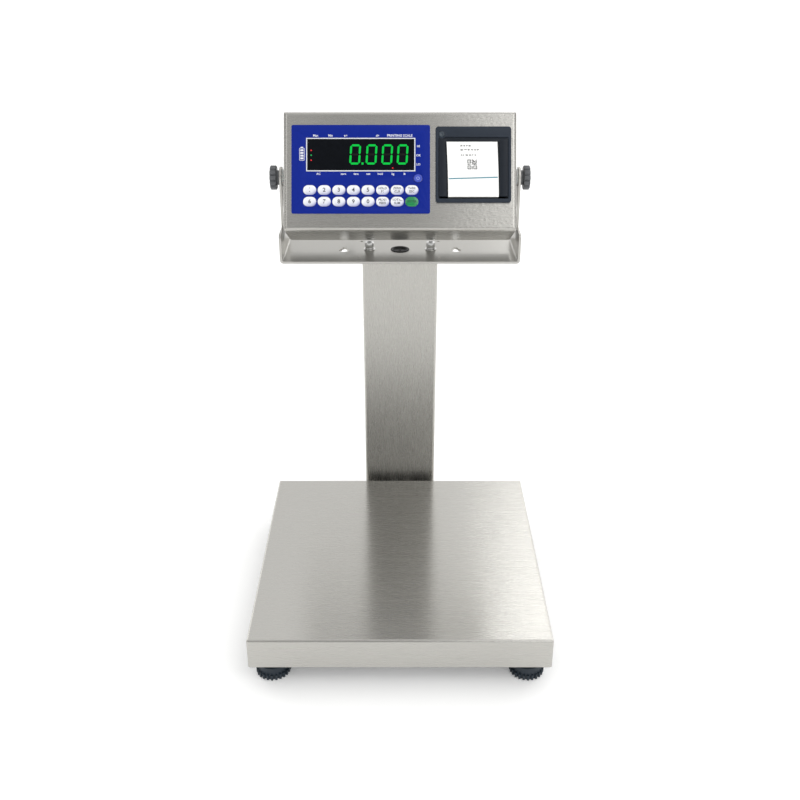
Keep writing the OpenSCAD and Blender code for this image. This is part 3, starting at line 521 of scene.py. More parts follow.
def finish(name, base, rough, metallic=0.0, grain=(700.0, 700.0, 700.0), tone=0.06, spread=0.05,
           depth=0.00001, mottle=0.0, mottle_size=120.0, mottle_from=None, edge=0.0, edge_colour=None,
           rim=None, sideways=False, **sockets):
    """A procedural surface: fine grain, slow mottling, rounded or worn edges, and, where asked, a painted shade
    tint on the side that faces a fixed direction.
    """
    if name in bpy.data.materials:
        return bpy.data.materials[name]
    material = bpy.data.materials.new(name)
    material.use_nodes = True
    material.diffuse_color = (*base, 1.0)
    tree = material.node_tree
    shader = tree.nodes["Principled BSDF"].inputs
    shader["Metallic"].default_value = metallic
    for socket, value in sockets.items():
        shader[socket.replace("_", " ")].default_value = value
    where = add_node(tree, "ShaderNodeTexCoord").outputs["Object"]
    stretched = add_node(tree, "ShaderNodeMapping", {"Vector": where, "Scale": grain}).outputs["Vector"]
    fine = add_node(tree, "ShaderNodeTexNoise",
                    {"Vector": stretched, "Scale": 1.0, "Detail": 3.0}).outputs["Fac"]
    broad = add_node(tree, "ShaderNodeTexNoise", {"Vector": where, "Scale": mottle_size, "Detail": 4.0,
                                                  "Roughness": 0.6}).outputs["Fac"]
    darker = (*[c * (1 - tone) for c in base], 1)
    lighter = (*[min(c * (1 + tone), 1) for c in base], 1)
    tint = tinted(tree, ramp(tree, worked(tree, "ADD", fine, broad), 0.65, 1.35), darker, lighter)
    tree.links.new(ramp(tree, fine, 0.3, 0.7, rough - spread, rough + spread), shader["Roughness"])
    normal = None
    if edge:
        normal = add_node(tree, "ShaderNodeBevel", {"Radius": edge}, samples=4).outputs["Normal"]
    if edge_colour:
        worn = worked(tree, "MULTIPLY", ramp(tree, facing(tree, normal), 0.98, 0.80), broad)
        tint = tinted(tree, worn, tint, (*edge_colour, 1))
    # Painted shade: the rim colour tints the side facing a fixed direction (down, right and forward), standing in
    # for the shade on a key's rim.
    if rim:
        tint = tinted(tree, ramp(tree, facing(tree, KEY_SHADE_SIDE), -0.12, 0.30), tint, (*rim, 1))
    tree.links.new(tint, shader["Base Color"])
    for source, height in ((broad, mottle), (fine, depth)):
        if height:
            feeds = {"Strength": 1.0, "Distance": height, "Height": source}
            if normal:
                feeds["Normal"] = normal
            if source is broad and mottle_from is not None:
                x = add_node(tree, "ShaderNodeSeparateXYZ", {"Vector": where}).outputs["X"]
                feeds["Strength"] = ramp(tree, x, mottle_from, mottle_from + 0.05, 0.1)
            normal = add_node(tree, "ShaderNodeBump", feeds).outputs["Normal"]
    if normal:
        tree.links.new(normal, shader["Normal"])
    if sideways:
        lay = add_node(tree, "ShaderNodeTangent", direction_type="RADIAL", axis="X")
        tree.links.new(lay.outputs["Tangent"], shader["Tangent"])
    return material


def sheet_steel(name, grain, mottle, mottle_size, mottle_from=None, extra=0.0):
    return finish(name, tuple(look().steel), look().steel_rough + extra, 1.0, grain, 0.02, 0.02, 0.0000018,
                  mottle, mottle_size, mottle_from, 0.0007, sideways=True, Anisotropic=0.85)


def fastener_steel():
    return finish("Bright fastener", (0.62, 0.62, 0.61), 0.19, 1.0, (260, 260, 2600), 0.05, 0.06, 0.000006,
                  edge=0.0003)


# factor darkens a copy of the printer plastic; the well and the door's channel use it as painted shade in their
# recesses.
def printer_plastic(name="Printer plastic", factor=1.0):
    return finish(name, tuple(c * factor for c in look().printer), 0.42, 0.0, (2600,) * 3, 0.10, 0.07,
                  0.000022, edge=0.0003, edge_colour=(0.07, 0.08, 0.10), Specular_IOR_Level=0.2)


def rubber_finish(name, base, rough, grain):
    return finish(name, base, rough, 0.0, (grain,) * 3, 0.15, 0.06, 0.00002)


def ink(name, base, rough=0.5, **sockets):
    return finish(name, base, rough, 0.0, (1800,) * 3, 0.05, 0.05, 0.000004, **sockets)


def lamp(name, base, light, strength, **sockets):
    return ink(name, base, 0.5, Emission_Color=(*light, 1.0), Emission_Strength=strength, **sockets)


# rim is a painted shade colour, tinted onto the side of a key that faces down and to the right.
def key_plastic(name, base, rough, tone, coat, coat_rough, rim=None):
    return finish(name, base, rough, 0.0, (1200,) * 3, tone, 0.04, 0.0, 0.000006, 500.0, rim=rim,
                  Coat_Weight=coat, Coat_Roughness=coat_rough)


# The paper's faint white emission is painted light: it makes the label and the roll glow brighter than the lamps
# light them.
def glowing_label_paper():
    return finish("Label paper", tuple(look().label), 0.62, 0.0, (1500,) * 3, 0.015, 0.05, 0.000006,
                  0.00001, 90.0, Specular_IOR_Level=0.35, Emission_Color=(1.0, 1.0, 1.0, 1.0),
                  Emission_Strength=0.12)


# ---- operators ----

class SCALE_OT_steelwork(bpy.types.Operator):
    """Brushed stainless sheet on the pan, the column, the bracket and the housing."""

    bl_idname = "scale.steelwork"
    bl_label = "Steelwork"

    def execute(self, context):
        dress("weighing_pan", sheet_steel("Brushed pan", (14, 1900, 1900), 0.00016, 330.0, 0.05))
        dress("column", sheet_steel("Brushed column", (900, 900, 60), 0.00002, 320.0))
        dress("head_bracket", sheet_steel("Brushed bracket", (20, 1700, 1700), 0.00003, 170.0, extra=0.04))
        dress("front_shell rear_cover",
              sheet_steel("Brushed housing", (16, 1700, 1700), 0.00014, 300.0, 0.04))
        return {"FINISHED"}


class SCALE_OT_base(bpy.types.Operator):
    """The frame, the load cell and what hangs below the pan."""

    bl_idname = "scale.base"
    bl_label = "Base frame and load cell"

    def execute(self, context):
        dress("base_frame column_bars load_frame cell_spacer_lower cell_spacer_upper",
              finish("Satin frame steel", tuple(look().frame_steel), 0.42, 0.85, (60, 1500, 1500), 0.10, 0.08,
                     0.00001, 0.00004, 60.0, edge=0.0008, edge_colour=(0.62, 0.62, 0.61)))
        dress("load_cell", finish("Milled aluminium", (0.66, 0.67, 0.69), 0.33, 1.0, (1800, 90, 1800), 0.05,
                                  0.06, 0.000008, edge=0.0004))
        dress("cell_lead", finish("Grey cable jacket", (0.16, 0.165, 0.17), 0.55, 0.0, (500,) * 3, 0.10, 0.06,
                                  0.00001, 0.00003, 300.0))
        low, _ = span("pan_pads", FLOOR)
        pads = solids_of("pan_pads")
        radius, height = pads[0][1].x / 2, pads[0][1].z
        shape = bmesh.new()
        add_lathe(shape, [(0, 0), (radius, 0), (radius, height * 0.7), (radius - 0.4, height), (0, height)],
                  Matrix())
        repeated("pads", shape, [(middle.x, middle.y, low.z) for middle, _ in pads], FLOOR,
                 rubber_finish("Pad rubber", (0.03, 0.03, 0.032), 0.75, 900), "pan_pads")
        return {"FINISHED"}


class SCALE_OT_fasteners(bpy.types.Operator):
    """Screws, nuts and bolts, repeated on the places that the CAD gives."""

    bl_idname = "scale.fasteners"
    bl_label = "Screws, nuts and bolts"

    def execute(self, context):
        self.steel = fastener_steel()
        self.bracket_screws()
        low, high = span("cover_screws", BACK)
        shape = self.socket_screw(3.8, high.z, 1.5, 1.4, 2.0, -low.z)
        self.set_out("cover_cap_screws", shape, "cover_screws", BACK, 0.0, 1.0, 7)
        self.nuts()
        self.hex_bolts()
        self.stops()
        dress("cell_bolts_lower cell_bolts_upper", self.steel)
        return {"FINISHED"}

    def set_out(self, name, shape, node, place, height, turn=0.0, seed=1):
        """Repeats a shape at each solid of a node, at one height."""
        points = [(middle.x, middle.y, height) for middle, _ in solids_of(node, place)]
        repeated(name, shape, points, place, self.steel, node, turn, seed)

    def socket_screw(self, radius, height, socket, deep, shank, length, knurls=0):
        """A socket screw, its head's underside at height zero."""
        bm = bmesh.new()
        edge = min(0.5, height * 0.25)
        layers = [(height - deep, 0.01), (height - edge, 0.0), (height - edge * 0.3, edge * 0.3),
                  (height, edge)]
        add_plate(bm, disc(radius), [hexagon(socket, 0.15 * socket)], layers, Matrix())
        add_plate(bm, disc(radius), [], [(0.0, 0.25), (0.25, 0.0), (height - deep + 0.02, 0.0)], Matrix())
        turns = thread(shank, 0.18, -length, 0.5, int(length / 0.5))
        add_lathe(bm, [(0, -length - 0.2)] + turns + [(shank, 0.01), (0, 0.01)], Matrix(), 24)
        for k in range(knurls):
            turn = Matrix.Rotation(2 * pi * k / knurls, 4, "Z") @ Matrix.Translation((radius - 0.05, 0, 0))
            add_block(bm, (-0.12, -0.11, 0.5), (0.12, 0.11, height - 0.9), turn, 0.05)
        return bm

    def bracket_screws(self):
        """Cap screws, each on a spring washer and a flat washer."""
        screws = solids_of("bracket_screws")
        low, high = span("bracket_screws", FLOOR)
        lip, washers = 1.2, 3.1
        seat_z = span("cable_grommet", FLOOR)[1].z - lip + washers
        columns = sorted({round(middle.x, 1) for middle, _ in screws})
        points = [(x, screws[0][0].y, seat_z) for x in (columns[0], columns[-1])]
        shape = self.socket_screw(5.0, high.z - seat_z, 2.9, 3.0, 3.0, seat_z - low.z, 36)
        flat = [(3.3, -washers), (6.3, -washers), (6.5, -2.9), (6.5, -1.75), (6.3, -1.5), (3.3, -1.5)]
        spring = [(3.3, -1.48), (5.2, -1.48), (5.35, -1.2), (5.35, -0.3), (5.2, 0), (3.3, 0)]
        for washer in (flat, spring):
            add_lathe(shape, washer, Matrix(), 40, closed=True)
        repeated("bracket_cap_screws", shape, points, FLOOR, self.steel, "bracket_screws", 1.0, 4)

    def nuts(self):
        low, high = span("foot_lock_nuts", FLOOR)
        radius, tall = solids_of("foot_lock_nuts")[0][1].x / 2, high.z - low.z
        shape = bmesh.new()
        add_plate(shape, hexagon(radius), [disc(4.05)], [(0, 0.4), (0.4, 0), (tall - 0.4, 0), (tall, 0.4)],
                  Matrix())
        self.set_out("lock_nuts", shape, "foot_lock_nuts", FLOOR, low.z, 1.0, 2)

    def hex_bolts(self):
        low, high = span("column_bolts", FLOOR)
        radius, tall = solids_of("column_bolts")[0][1].x / 2, high.z - low.z
        shape = bmesh.new()
        add_plate(shape, hexagon(radius), [], [(0, 0.5), (0.4, 0), (5.3, 0)], Matrix())
        add_lathe(shape, [(0, 5.28), (4, 5.28), (4, tall - 0.4), (3.6, tall), (0, tall)], Matrix(), 24)
        self.set_out("column_hex_bolts", shape, "column_bolts", FLOOR, low.z, 1.0, 3)

    def stops(self):
        low, high = span("stop_screws", FLOOR)
        tall = high.z - low.z
        turns = thread(3.0, 0.2, 0.3, 0.5, int(tall / 0.5) - 1)
        shape = bmesh.new()
        add_lathe(shape, [(0, 0), (2.6, 0)] + turns + [(2.6, tall), (0, tall)], Matrix(), 24)
        self.set_out("stop_set_screws", shape, "stop_screws", FLOOR, low.z)


class SCALE_OT_feet(bpy.types.Operator):
    """Four toothed levelling feet on threaded studs."""

    bl_idname = "scale.feet"
    bl_label = "Levelling feet"

    def execute(self, context):
        rubber = finish("Foot rubber", tuple(look().foot), 0.48, 0.0, (1500,) * 3, 0.16, 0.08, 0.00002,
                        edge=0.0004, edge_colour=(0.05, 0.07, 0.09))
        for name in FEET:
            self.foot("foot_" + name, rubber)
        return {"FINISHED"}

    def foot(self, node, rubber):
        low, high, where = seat(node, FLOOR)
        depth, count = sizes().tooth_depth, sizes().tooth_count
        root, tall = (high.x - low.x) / 2 - depth, 14.0
        cheese = bmesh.new()
        add_lathe(cheese, [(0, 0), (root - 0.6, 0), (root, 0.6), (root, tall - 0.6), (root - 0.6, tall),
                           (root - 1.4, tall), (8.6, tall + 2.6), (8.0, tall + 3.0), (0, tall + 3.0)],
                  Matrix(), 72)
        tooth = bmesh.new()
        half = pi * root / count * 0.56
        add_block(tooth, (-1.0, -half, 0.6), (depth, half, 6.5), Matrix(), 0.32)
        mesh = run_tree(ring_tree(), make_mesh("foot_base", cheese), tooth, Count=count, Radius=root,
                        Finish=rubber)
        whole = bmesh.new()
        whole.from_mesh(mesh)
        for face in whole.faces:
            face.material_index = 0
        step = sizes().thread_pitch / 2
        turns = thread(4.0, 0.45, 16.0, step, int((high.z - 16.6) / step))
        add_lathe(whole, [(0, 15.5), (3.5, 15.5)] + turns + [(3.5, high.z), (0, high.z)], Matrix(), 28,
                  index=1)
        whole.transform(where)
        finish_piece("toothed_" + node, whole, [rubber, fastener_steel()], node)


class SCALE_OT_housing(bpy.types.Operator):
    """The indicator's seal, washers, cable gland, inlet and the bracket's grommet."""

    bl_idname = "scale.housing"
    bl_label = "Housing fittings"

    def execute(self, context):
        black = finish("Black moulding", (0.012, 0.012, 0.013), 0.4, 0.0, (1700,) * 3, 0.15, 0.08, 0.00002,
                       edge=0.0003, edge_colour=(0.06, 0.06, 0.06))
        rubber = rubber_finish("Black rubber", (0.010, 0.010, 0.011), 0.62, 1300)
        dress("cover_gasket", rubber)
        dress("pivot_washers", finish("Nylon", (0.72, 0.72, 0.70), 0.45, 0.0, (900,) * 3, 0.04, 0.05, 0.00001,
                                      edge=0.0004, Subsurface_Weight=0.1))
        self.gland(black)
        self.inlet(black)
        self.grommet(rubber)
        return {"FINISHED"}

    def gland(self, black):
        low, high, where = seat("cable_gland", BACK)
        bm = bmesh.new()
        add_plate(bm, hexagon(11), [disc(3.4)], [(0, 0), (4.3, 0), (5, 0.7)], where)
        ribs = [(9.0 - 2.6 * k / 12 - (0.0 if k % 2 else 0.45), 5.0 + k) for k in range(12)]
        add_lathe(bm, [(3.4, 4.98)] + ribs + [(6.4, high.z - 0.6), (5.9, high.z), (4.0, high.z),
                                              (3.4, high.z - 0.6)], where, 48, closed=True)
        add_lathe(bm, [(3.4, low.z), (7.7, low.z), (7.9, low.z + 0.3), (7.9, 0.02), (3.4, 0.02)], where, 40,
                  closed=True)
        add_plate(bm, hexagon(11), [disc(7.95)], [(-6.0, 0.5), (-5.5, 0), (-2.0, 0)], where)
        finish_piece("ribbed_gland", bm, [black], "cable_gland")

    def inlet(self, black):
        low, high, where = seat("power_inlet", BACK)
        bm = bmesh.new()
        add_lathe(bm, [(3.2, -8), (5.9, -8), (5.9, 0.01), (8, 0.01), (8, high.z - 0.5), (7.5, high.z),
                       (3.6, high.z), (3.2, high.z - 0.4)], where, 48, closed=True)
        add_lathe(bm, [(0, low.z), (5.9, low.z), (5.9, -7.98), (1.1, -7.98), (1.1, high.z - 1.0),
                       (0.7, high.z - 0.6), (0, high.z - 0.5)], where, 32)
        add_plate(bm, hexagon(8.5), [disc(5.92)], [(-5.0, 0.4), (-4.6, 0), (-2.0, 0)], where)
        finish_piece("inlet_socket", bm, [black], "power_inlet")

    def grommet(self, rubber):
        lip = 1.2
        plate = span("cable_grommet", FLOOR)[1].z - lip
        low, high, where = seat("cable_grommet", FLOOR, plate)
        radius, bottom = (high.x - low.x) / 2, low.z - plate
        outside = [(0.5, bottom), (0.0, bottom + 0.5), (0.0, -2.55), (1.8, -2.5), (1.8, 0.02), (0.2, 0.02),
                   (0.0, 0.35), (0.35, 0.95), (1.1, lip), (2.2, 1.0), (3.0, 0.2), (3.4, -0.9), (4.2, -1.3)]
        slit = [(2.6, -1.35), (2.2, -1.0), (1.6, -0.9), (1.2, -1.3), (1.0, -2.2), (0, -2.4)]
        bm = bmesh.new()
        add_lathe(bm, [(0, bottom)] + [(radius - inset, z) for inset, z in outside] + slit, where, 56)
        finish_piece("ringed_grommet", bm, [rubber], "cable_grommet")


def key_shape(name):
    """Middle, width, height, back and front of a key or the window, on the face."""
    low, high = span(name, FACE)
    return (low.x + high.x) / 2, (low.y + high.y) / 2, high.x - low.x, high.y - low.y, low.z, high.z


class SCALE_OT_overlay(bpy.types.Operator):
    """The blue keypad sheet with its holes and small white print."""

    bl_idname = "scale.overlay"
    bl_label = "Keypad sheet"

    def execute(self, context):
        x, y, w, h, back, top = key_shape("keypad_overlay")
        win_x, win_y, win_w, win_h, _, _ = key_shape("display_window")
        power_x, power_y, power_w, _, _, _ = key_shape("power_key")
        keys = [key_shape("key_" + name)[:4] for name in KEYS]
        holes = [rounded(win_w, win_h, 0.3, win_x, win_y, 2)]
        holes += [oval(key_w + 0.5, key_h + 0.5, key_x, key_y) for key_x, key_y, key_w, key_h in keys]
        holes.append(disc(power_w / 2 + 0.25, power_x, power_y, 32))
        bm = bmesh.new()
        add_plate(bm, rounded(w, h, 2.0, x, y), holes,
                  [(back + 0.01, 0), (top - 0.22, 0), (top - 0.07, 0.07), (top, 0.22)], FACE)
        for key_x, key_y, key_w, key_h in keys:
            add_plate(bm, oval(key_w + 1.5, key_h + 1.5, key_x, key_y),
                      [oval(key_w + 0.55, key_h + 0.55, key_x, key_y)],
                      [(top - 0.1, 0.0), (top + 0.06, 0.02), (top + 0.14, 0.22)], FACE)
        self.print_words(bm, win_x, win_y, top)
        self.battery_sign(bm, win_x - 63.4, win_y + 0.4, top)
        blue = finish("Keypad film", tuple(look().overlay), 0.34, 0.0, (3000,) * 3, 0.07, 0.05, 0.00001,
                      0.00001, 400.0, Specular_IOR_Level=0.06)
        finish_piece("printed_overlay", bm, [blue, ink("White print", (0.78, 0.80, 0.84), 0.45)],
                     "keypad_overlay")
        return {"FINISHED"}

    def print_words(self, bm, x, y, top):
        """Words above, below and to the right of the window."""
        above = (("Max", 3.3, -48.6), ("Min", 3.3, -32.5), ("e=", 3.3, -16.3), ("d=", 3.3, 18.1),
                 ("PRINTING SCALE", 3.6, 42.0))
        below = (("AC", -45.5), ("zero", -18.6), ("tare", -5.0), ("net", 8.1), ("hold", 21.0), ("kg", 34.6),
                 ("lb", 47.2))
        beside = (("HI", 8.9), ("OK", -0.9), ("LO", -10.6))
        words = [(text, height, dx, 20.4) for text, height, dx in above]
        words += [(text, 3.2, dx, -20.8) for text, dx in below]
        words += [(text, 3.3, 62.1, dy) for text, dy in beside]
        for text, height, dx, dy in words:
            add_lettering(bm, text, height, x + dx, y + dy, lambda u, v: top, 1)

    def battery_sign(self, bm, x, y, top):
        layers = [(top - 0.02, 0), (top + 0.03, 0)]
        add_plate(bm, rounded(5.6, 13.6, 0.8, x, y, 3), [rounded(4.6, 12.6, 0.5, x, y, 3)], layers, FACE, 1)
        add_plate(bm, rounded(2.8, 1.1, 0.2, x, y + 7.4, 2), [], layers, FACE, 1)
        for k in range(4):
            add_plate(bm, rounded(3.4, 2.0, 0.3, x, y - 4.4 + 2.9 * k, 2), [], layers, FACE, 1)


class SCALE_OT_display(bpy.types.Operator):
    """The dark window with its line, lit digits and signal lamps."""

    bl_idname = "scale.display"
    bl_label = "Display"

    def execute(self, context):
        x, y, w, h, back, top = key_shape("display_window")
        line = sizes().window_line
        bm = bmesh.new()
        add_plate(bm, rounded(w - 0.1, h - 0.1, 0.3, x, y, 2), [],
                  [(back + 0.01, 0), (top - 0.16, 0), (top - 0.1, 0.06)], FACE)
        add_plate(bm, rounded(w - 0.2, h - 0.2, 0.3, x, y, 2),
                  [rounded(w - 2 * line, h - 2 * line, 0.4, x, y, 2)],
                  [(top - 0.12, 0), (top - 0.02, 0), (top, 0.04)], FACE, 1)
        for step in (-6.0, 11.6, 28.5, 45.1):
            for segment in "abcdefg":
                self.segment(bm, segment, x + step, y + 0.2, top - 0.1, 3 if segment == "g" else 2)
        add_plate(bm, rounded(2.3, 2.3, 0.4, x + 1.9, y - sizes().digit_height / 2 + 1.3, 3), [],
                  [(top - 0.12, 0), (top - 0.06, 0)], FACE, 2)
        for dx, dy, index in ((-53.4, 4.6, 4), (-53.4, -6.0, 4), (34.4, -14.4, 4), (-53.4, -0.6, 5)):
            add_plate(bm, disc(0.75, x + dx, y + dy, 16), [], [(top - 0.12, 0), (top - 0.04, 0.05)], FACE,
                      index)
        finish_piece("lit_window", bm, self.materials(), "display_window")
        dress("display_module", finish("Dark module", (0.018, 0.018, 0.02), 0.5, 0.0, (700,) * 3, 0.12, 0.06,
                                       0.00001, edge=0.0003, edge_colour=(0.08, 0.08, 0.08)))
        return {"FINISHED"}

    def materials(self):
        """Glass, line, lit segment, unlit segment, red lamp and green lamp."""
        lit = tuple(look().lit)
        return [finish("Display glass", tuple(look().glass), 0.12, 0.0, (260,) * 3, 0.20, 0.03, 0.0,
                       Specular_IOR_Level=0.08),
                ink("Window line", (0.74, 0.76, 0.80), 0.4),
                lamp("Lit green", (0.0, 0.05, 0.01), lit, 1.0, Specular_IOR_Level=0.1),
                finish("Unlit segment", (0.009, 0.011, 0.009), 0.35, 0.0, (900,) * 3, 0.1, 0.03, 0.0,
                       Specular_IOR_Level=0.08),
                lamp("Lit red", (0.2, 0.0, 0.0), (0.9, 0.01, 0.015), 0.9),
                lamp("Lamp green", (0.0, 0.1, 0.02), (0.0, 0.5, 0.10), 0.9)]

    def segment(self, bm, name, x, y, z, index):
        """One bar of a seven-bar digit, with pointed ends and a small gap to its neighbours."""
        w, h, t = sizes().digit_width / 2, sizes().digit_height / 2, sizes().digit_stroke / 2
        gap, slant = 0.32, 0.06
        side, up = w - t, (h - t) / 2
        rows = {"a": (0, h - t, 1), "g": (0, 0, 1), "d": (0, t - h, 1), "b": (side, up, 0),
                "c": (side, -up, 0), "f": (-side, up, 0), "e": (-side, -up, 0)}
        cx, cy, level = rows[name]
        half = (side if level else up) - gap
        bar = [(half, 0), (half - t, t), (t - half, t), (-half, 0), (t - half, -t), (half - t, -t)]
        if not level:
            bar = [(-v, u) for u, v in bar]
        outline = fixed([(x + cx + u + slant * (cy + v), y + cy + v) for u, v in bar])
        add_plate(bm, outline, [], [(z - 0.03, 0), (z + (0.05 if index == 2 else 0.01), 0)], FACE, index)


def dome(x0, y0, width, height, rim, rise):
    """The height of a key's dome at (x, y)."""
    run, reach = (width - height) / 2, height / 2

    def surface(x, y):
        dx = abs(x - x0) - run
        return rim + rise * (1 - min(hypot(max(dx, 0.0), y - y0) / reach, 1.0) ** 3.2)
    return surface


class SCALE_OT_keys(bpy.types.Operator):
    """Sixteen domed keys with their digits and words, and the power key."""

    bl_idname = "scale.keys"
    bl_label = "Keys"

    def execute(self, context):
        # The pearl keys' last colour is a painted shade tint on each key's lower right rim.
        pearl = [key_plastic("Pearl key", tuple(look().key), 0.22, 0.03, 0.6, 0.08, (0.20, 0.22, 0.52)),
                 ink("Key print", (0.012, 0.014, 0.03), 0.4)]
        green = [key_plastic("Green key", tuple(look().enter_key), 0.25, 0.05, 0.6, 0.08),
                 ink("Dark green print", (0.0, 0.07, 0.03), 0.4)]
        for name in KEYS:
            self.key(name, green if name == "enter" else pearl)
        self.power()
        return {"FINISHED"}

    def key(self, name, materials):
        x, y, w, h, back, top = key_shape("key_" + name)
        rise, cap = sizes().key_rise, back + 3.3
        bm = bmesh.new()
        surface = dome(x, y, w, h, top - rise, rise)
        layers = [(cap, 0.0), (top - rise - 0.12, 0.0)]
        for k in range(11):
            away = 1 - (k / 10) ** 1.7
            layers.append((top - rise + rise * (1 - away ** 3.2), (h / 2 - 0.02) * (1 - away) + 0.02))
        add_plate(bm, oval(w, h, x, y, 16), [], layers, FACE)
        add_lathe(bm, [(0, back), (2, back), (2, cap + 0.1), (0, cap + 0.1)],
                  FACE @ Matrix.Translation((x, y, 0)), 20)
        if name in DIGIT_KEYS:
            add_lettering(bm, name, sizes().key_digit, x, y - 0.1, surface, 1)
        else:
            words = KEY_WORDS[name]
            for word, drop in zip(words, (1.75, -1.75) if len(words) == 2 else (0.0,)):
                add_lettering(bm, word, 3.4, x, y + drop, surface, 1)
        finish_piece("domed_key_" + name, bm, materials, "key_" + name, 40)

    def power(self):
        """A round key with a dished middle and the sign for power."""
        low, high, where = seat("power_key", FACE)
        r, top = (high.x - low.x) / 2, high.z
        bm = bmesh.new()
        add_lathe(bm, [(0, low.z), (2, low.z), (2, top - 1.6), (r, top - 1.55), (r, top - 0.4),
                       (r - 0.2, top - 0.12), (r - 0.6, top), (r - 1.0, top - 0.04), (r - 1.2, top - 0.2),
                       (r - 2.4, top - 0.26), (0, top - 0.28)], where, 40)
        arc = [radians(128 + 284 * k / 16) for k in range(17)]
        ring = [(reach * cos(a), reach * sin(a))
                for reach, way in ((1.75, 1), (1.35, -1)) for a in arc[::way]]
        for sign in (fixed(ring), rounded(0.42, 1.5, 0.1, 0, 1.25, 2)):
            add_plate(bm, sign, [], [(top - 0.32, 0), (top - 0.2, 0)], where, 1)
        plastic = key_plastic("Power key plastic", tuple(look().power_key), 0.28, 0.05, 0.5, 0.1)
        finish_piece("ringed_power_key", bm, [plastic, ink("Pale key print", (0.45, 0.55, 0.85), 0.4)],
                     "power_key")


class SCALE_OT_printer(bpy.types.Operator):
    """The panel printer: bezel and well, door with its channel, rollers, paper and button."""

    bl_idname = "scale.printer"
    bl_label = "Printer"

    def execute(self, context):
        # The well and the door's channel take darker copies of the printer plastic as painted shade in these
        # recesses; the door itself takes a half-dark copy.
        self.bezel([printer_plastic(), printer_plastic("Printer well painted shade plastic", 0.55)])
        self.door([printer_plastic("Door plastic", 0.5), printer_plastic("Door channel painted shade plastic", 0.3)])
        self.platen()
        self.roll()
        self.button()
        dress("print_head", finish("Print head", (0.42, 0.42, 0.40), 0.3, 0.4, (900,) * 3, 0.08, 0.06,
                                   0.00001, edge=0.0004))
        return {"FINISHED"}

    def bezel(self, materials):
        x, y, w, h, back, top = key_shape("printer_bezel")
        door_low, door_high = span("printer_door", FACE)
        button_x, button_y = key_shape("feed_button")[:2]
        gap_low, gap_high = door_low.y - 2.2, door_high.y + 0.35
        gap_w = door_high.x - door_low.x - 3.0
        bm = bmesh.new()
        opening = rounded(gap_w, gap_high - gap_low, 0.5, x, (gap_low + gap_high) / 2, 3)
        add_plate(bm, rounded(w, h, 3.0, x, y), [opening, disc(3.15, button_x, button_y, 32)],
                  edged(0.02, top, sizes().bezel_round, 4), FACE)
        add_plate(bm, disc(4.6, button_x, button_y, 40), [disc(3.2, button_x, button_y, 32)],
                  [(top - 0.3, 0), (top - 0.02, 0), (top + 0.16, 0.22)], FACE)
        rib = y + h / 2 - 10.6
        add_block(bm, (x - w / 2 + 2.2, rib, top - 0.3), (x + w / 2 - 2.2, rib + 0.4, top + 0.12), FACE, 0.08)
        well_w, well_h, wall = 75.8, h - 6, 2.0
        well = rounded(well_w, well_h, 1.0, x, y, 3)
        inner = rounded(well_w - 2 * wall, well_h - 2 * wall, 0.6, x, y, 2)
        add_plate(bm, well, [inner], [(back + wall, 0), (0.05, 0)], FACE, 1)
        add_plate(bm, well, [], [(back, 0.3), (back + 0.3, 0), (back + wall + 0.02, 0)], FACE, 1)
        roll_low, roll_high = span("paper_roll", FACE)
        roll = (roll_low + roll_high) / 2
        for side in (-1, 1):
            turn = (FACE @ Matrix.Translation((x + side * (well_w / 2 - wall), roll.y, roll.z))
                    @ Matrix.Rotation(-side * pi / 2, 4, "Y"))
            add_lathe(bm, [(0, -0.05), (6.45, -0.05), (6.45, 9.8), (5.6, 10.6), (3.0, 10.6), (2.6, 9.2),
                           (0, 9.2)], turn, 40, index=1)
        finish_piece("rounded_bezel", bm, materials, "printer_bezel")

    def door(self, materials):
        """The door: its flap with a channel for the label, its barrel, and two cheeks for the platen."""
        low, high = span("printer_door", FACE)
        pin = 1.8
        x, half = (low.x + high.x) / 2, (high.x - low.x) / 2 - pin
        top, bottom, hinge = high.z, low.y, high.y - 1.0
        floor = top - sizes().channel_depth
        left, right = x - half + 8.3, x + half - 9.0
        bm = bmesh.new()
        add_plate(bm, rounded(2 * half, hinge - bottom, 0.6, x, (hinge + bottom) / 2, 3), [],
                  both_edged(top - 2.0, floor, 0.15, 2), FACE, 1)
        for a, b in ((x - half, left), (right, x + half)):
            add_block(bm, (a, bottom, floor - 0.3), (b, hinge - 0.2, top), FACE, 0.3)
            add_block(bm, (a + 1.1, bottom + 1.4, top - 0.1), (b - 1.1, hinge - 2.2, top + 0.1), FACE, 0.08)
        add_block(bm, (left - 0.2, hinge - 3.2, floor - 0.3), (right + 0.2, hinge - 0.2, top - 0.15),
                  FACE, 0.3)
        for k in range(5):
            rib = left + 6 + k * (right - left - 12) / 4
            add_block(bm, (rib - 0.5, bottom + 2, floor - 0.2), (rib + 0.5, hinge - 5, floor + 0.3),
                      FACE, 0.12, 1)
        barrel = FACE @ Matrix.Translation((x, hinge, top - 1.0)) @ Matrix.Rotation(pi / 2, 4, "Y")
        end = half + pin - 0.05
        add_lathe(bm, [(0, -end), (0.8, -end), (0.8, -half), (1.0, -half + 0.05), (1.0, half - 0.05),
                       (0.8, half), (0.8, end), (0, end)], barrel, 20)
        shaft_low, shaft_high = span("platen_roller", FACE)
        shaft = (shaft_low + shaft_high) / 2
        behind, before = low.z - shaft.z, top - 2.0 - shaft.z + 0.05
        for side in (-1, 1):
            place = (FACE @ Matrix.Translation((x + side * 30.0, shaft.y + 1, shaft.z))
                     @ Matrix.Rotation(side * pi / 2, 4, "Y"))
            cheek = [(-before * side, -7), (-behind * side, -7), (-behind * side, 7), (-before * side, 7)]
            add_plate(bm, fixed(cheek), [disc(2.06, 0, -1, 24)], [(0, 0), (2.0, 0)], place, 1)
        finish_piece("channelled_door", bm, materials, "printer_door")

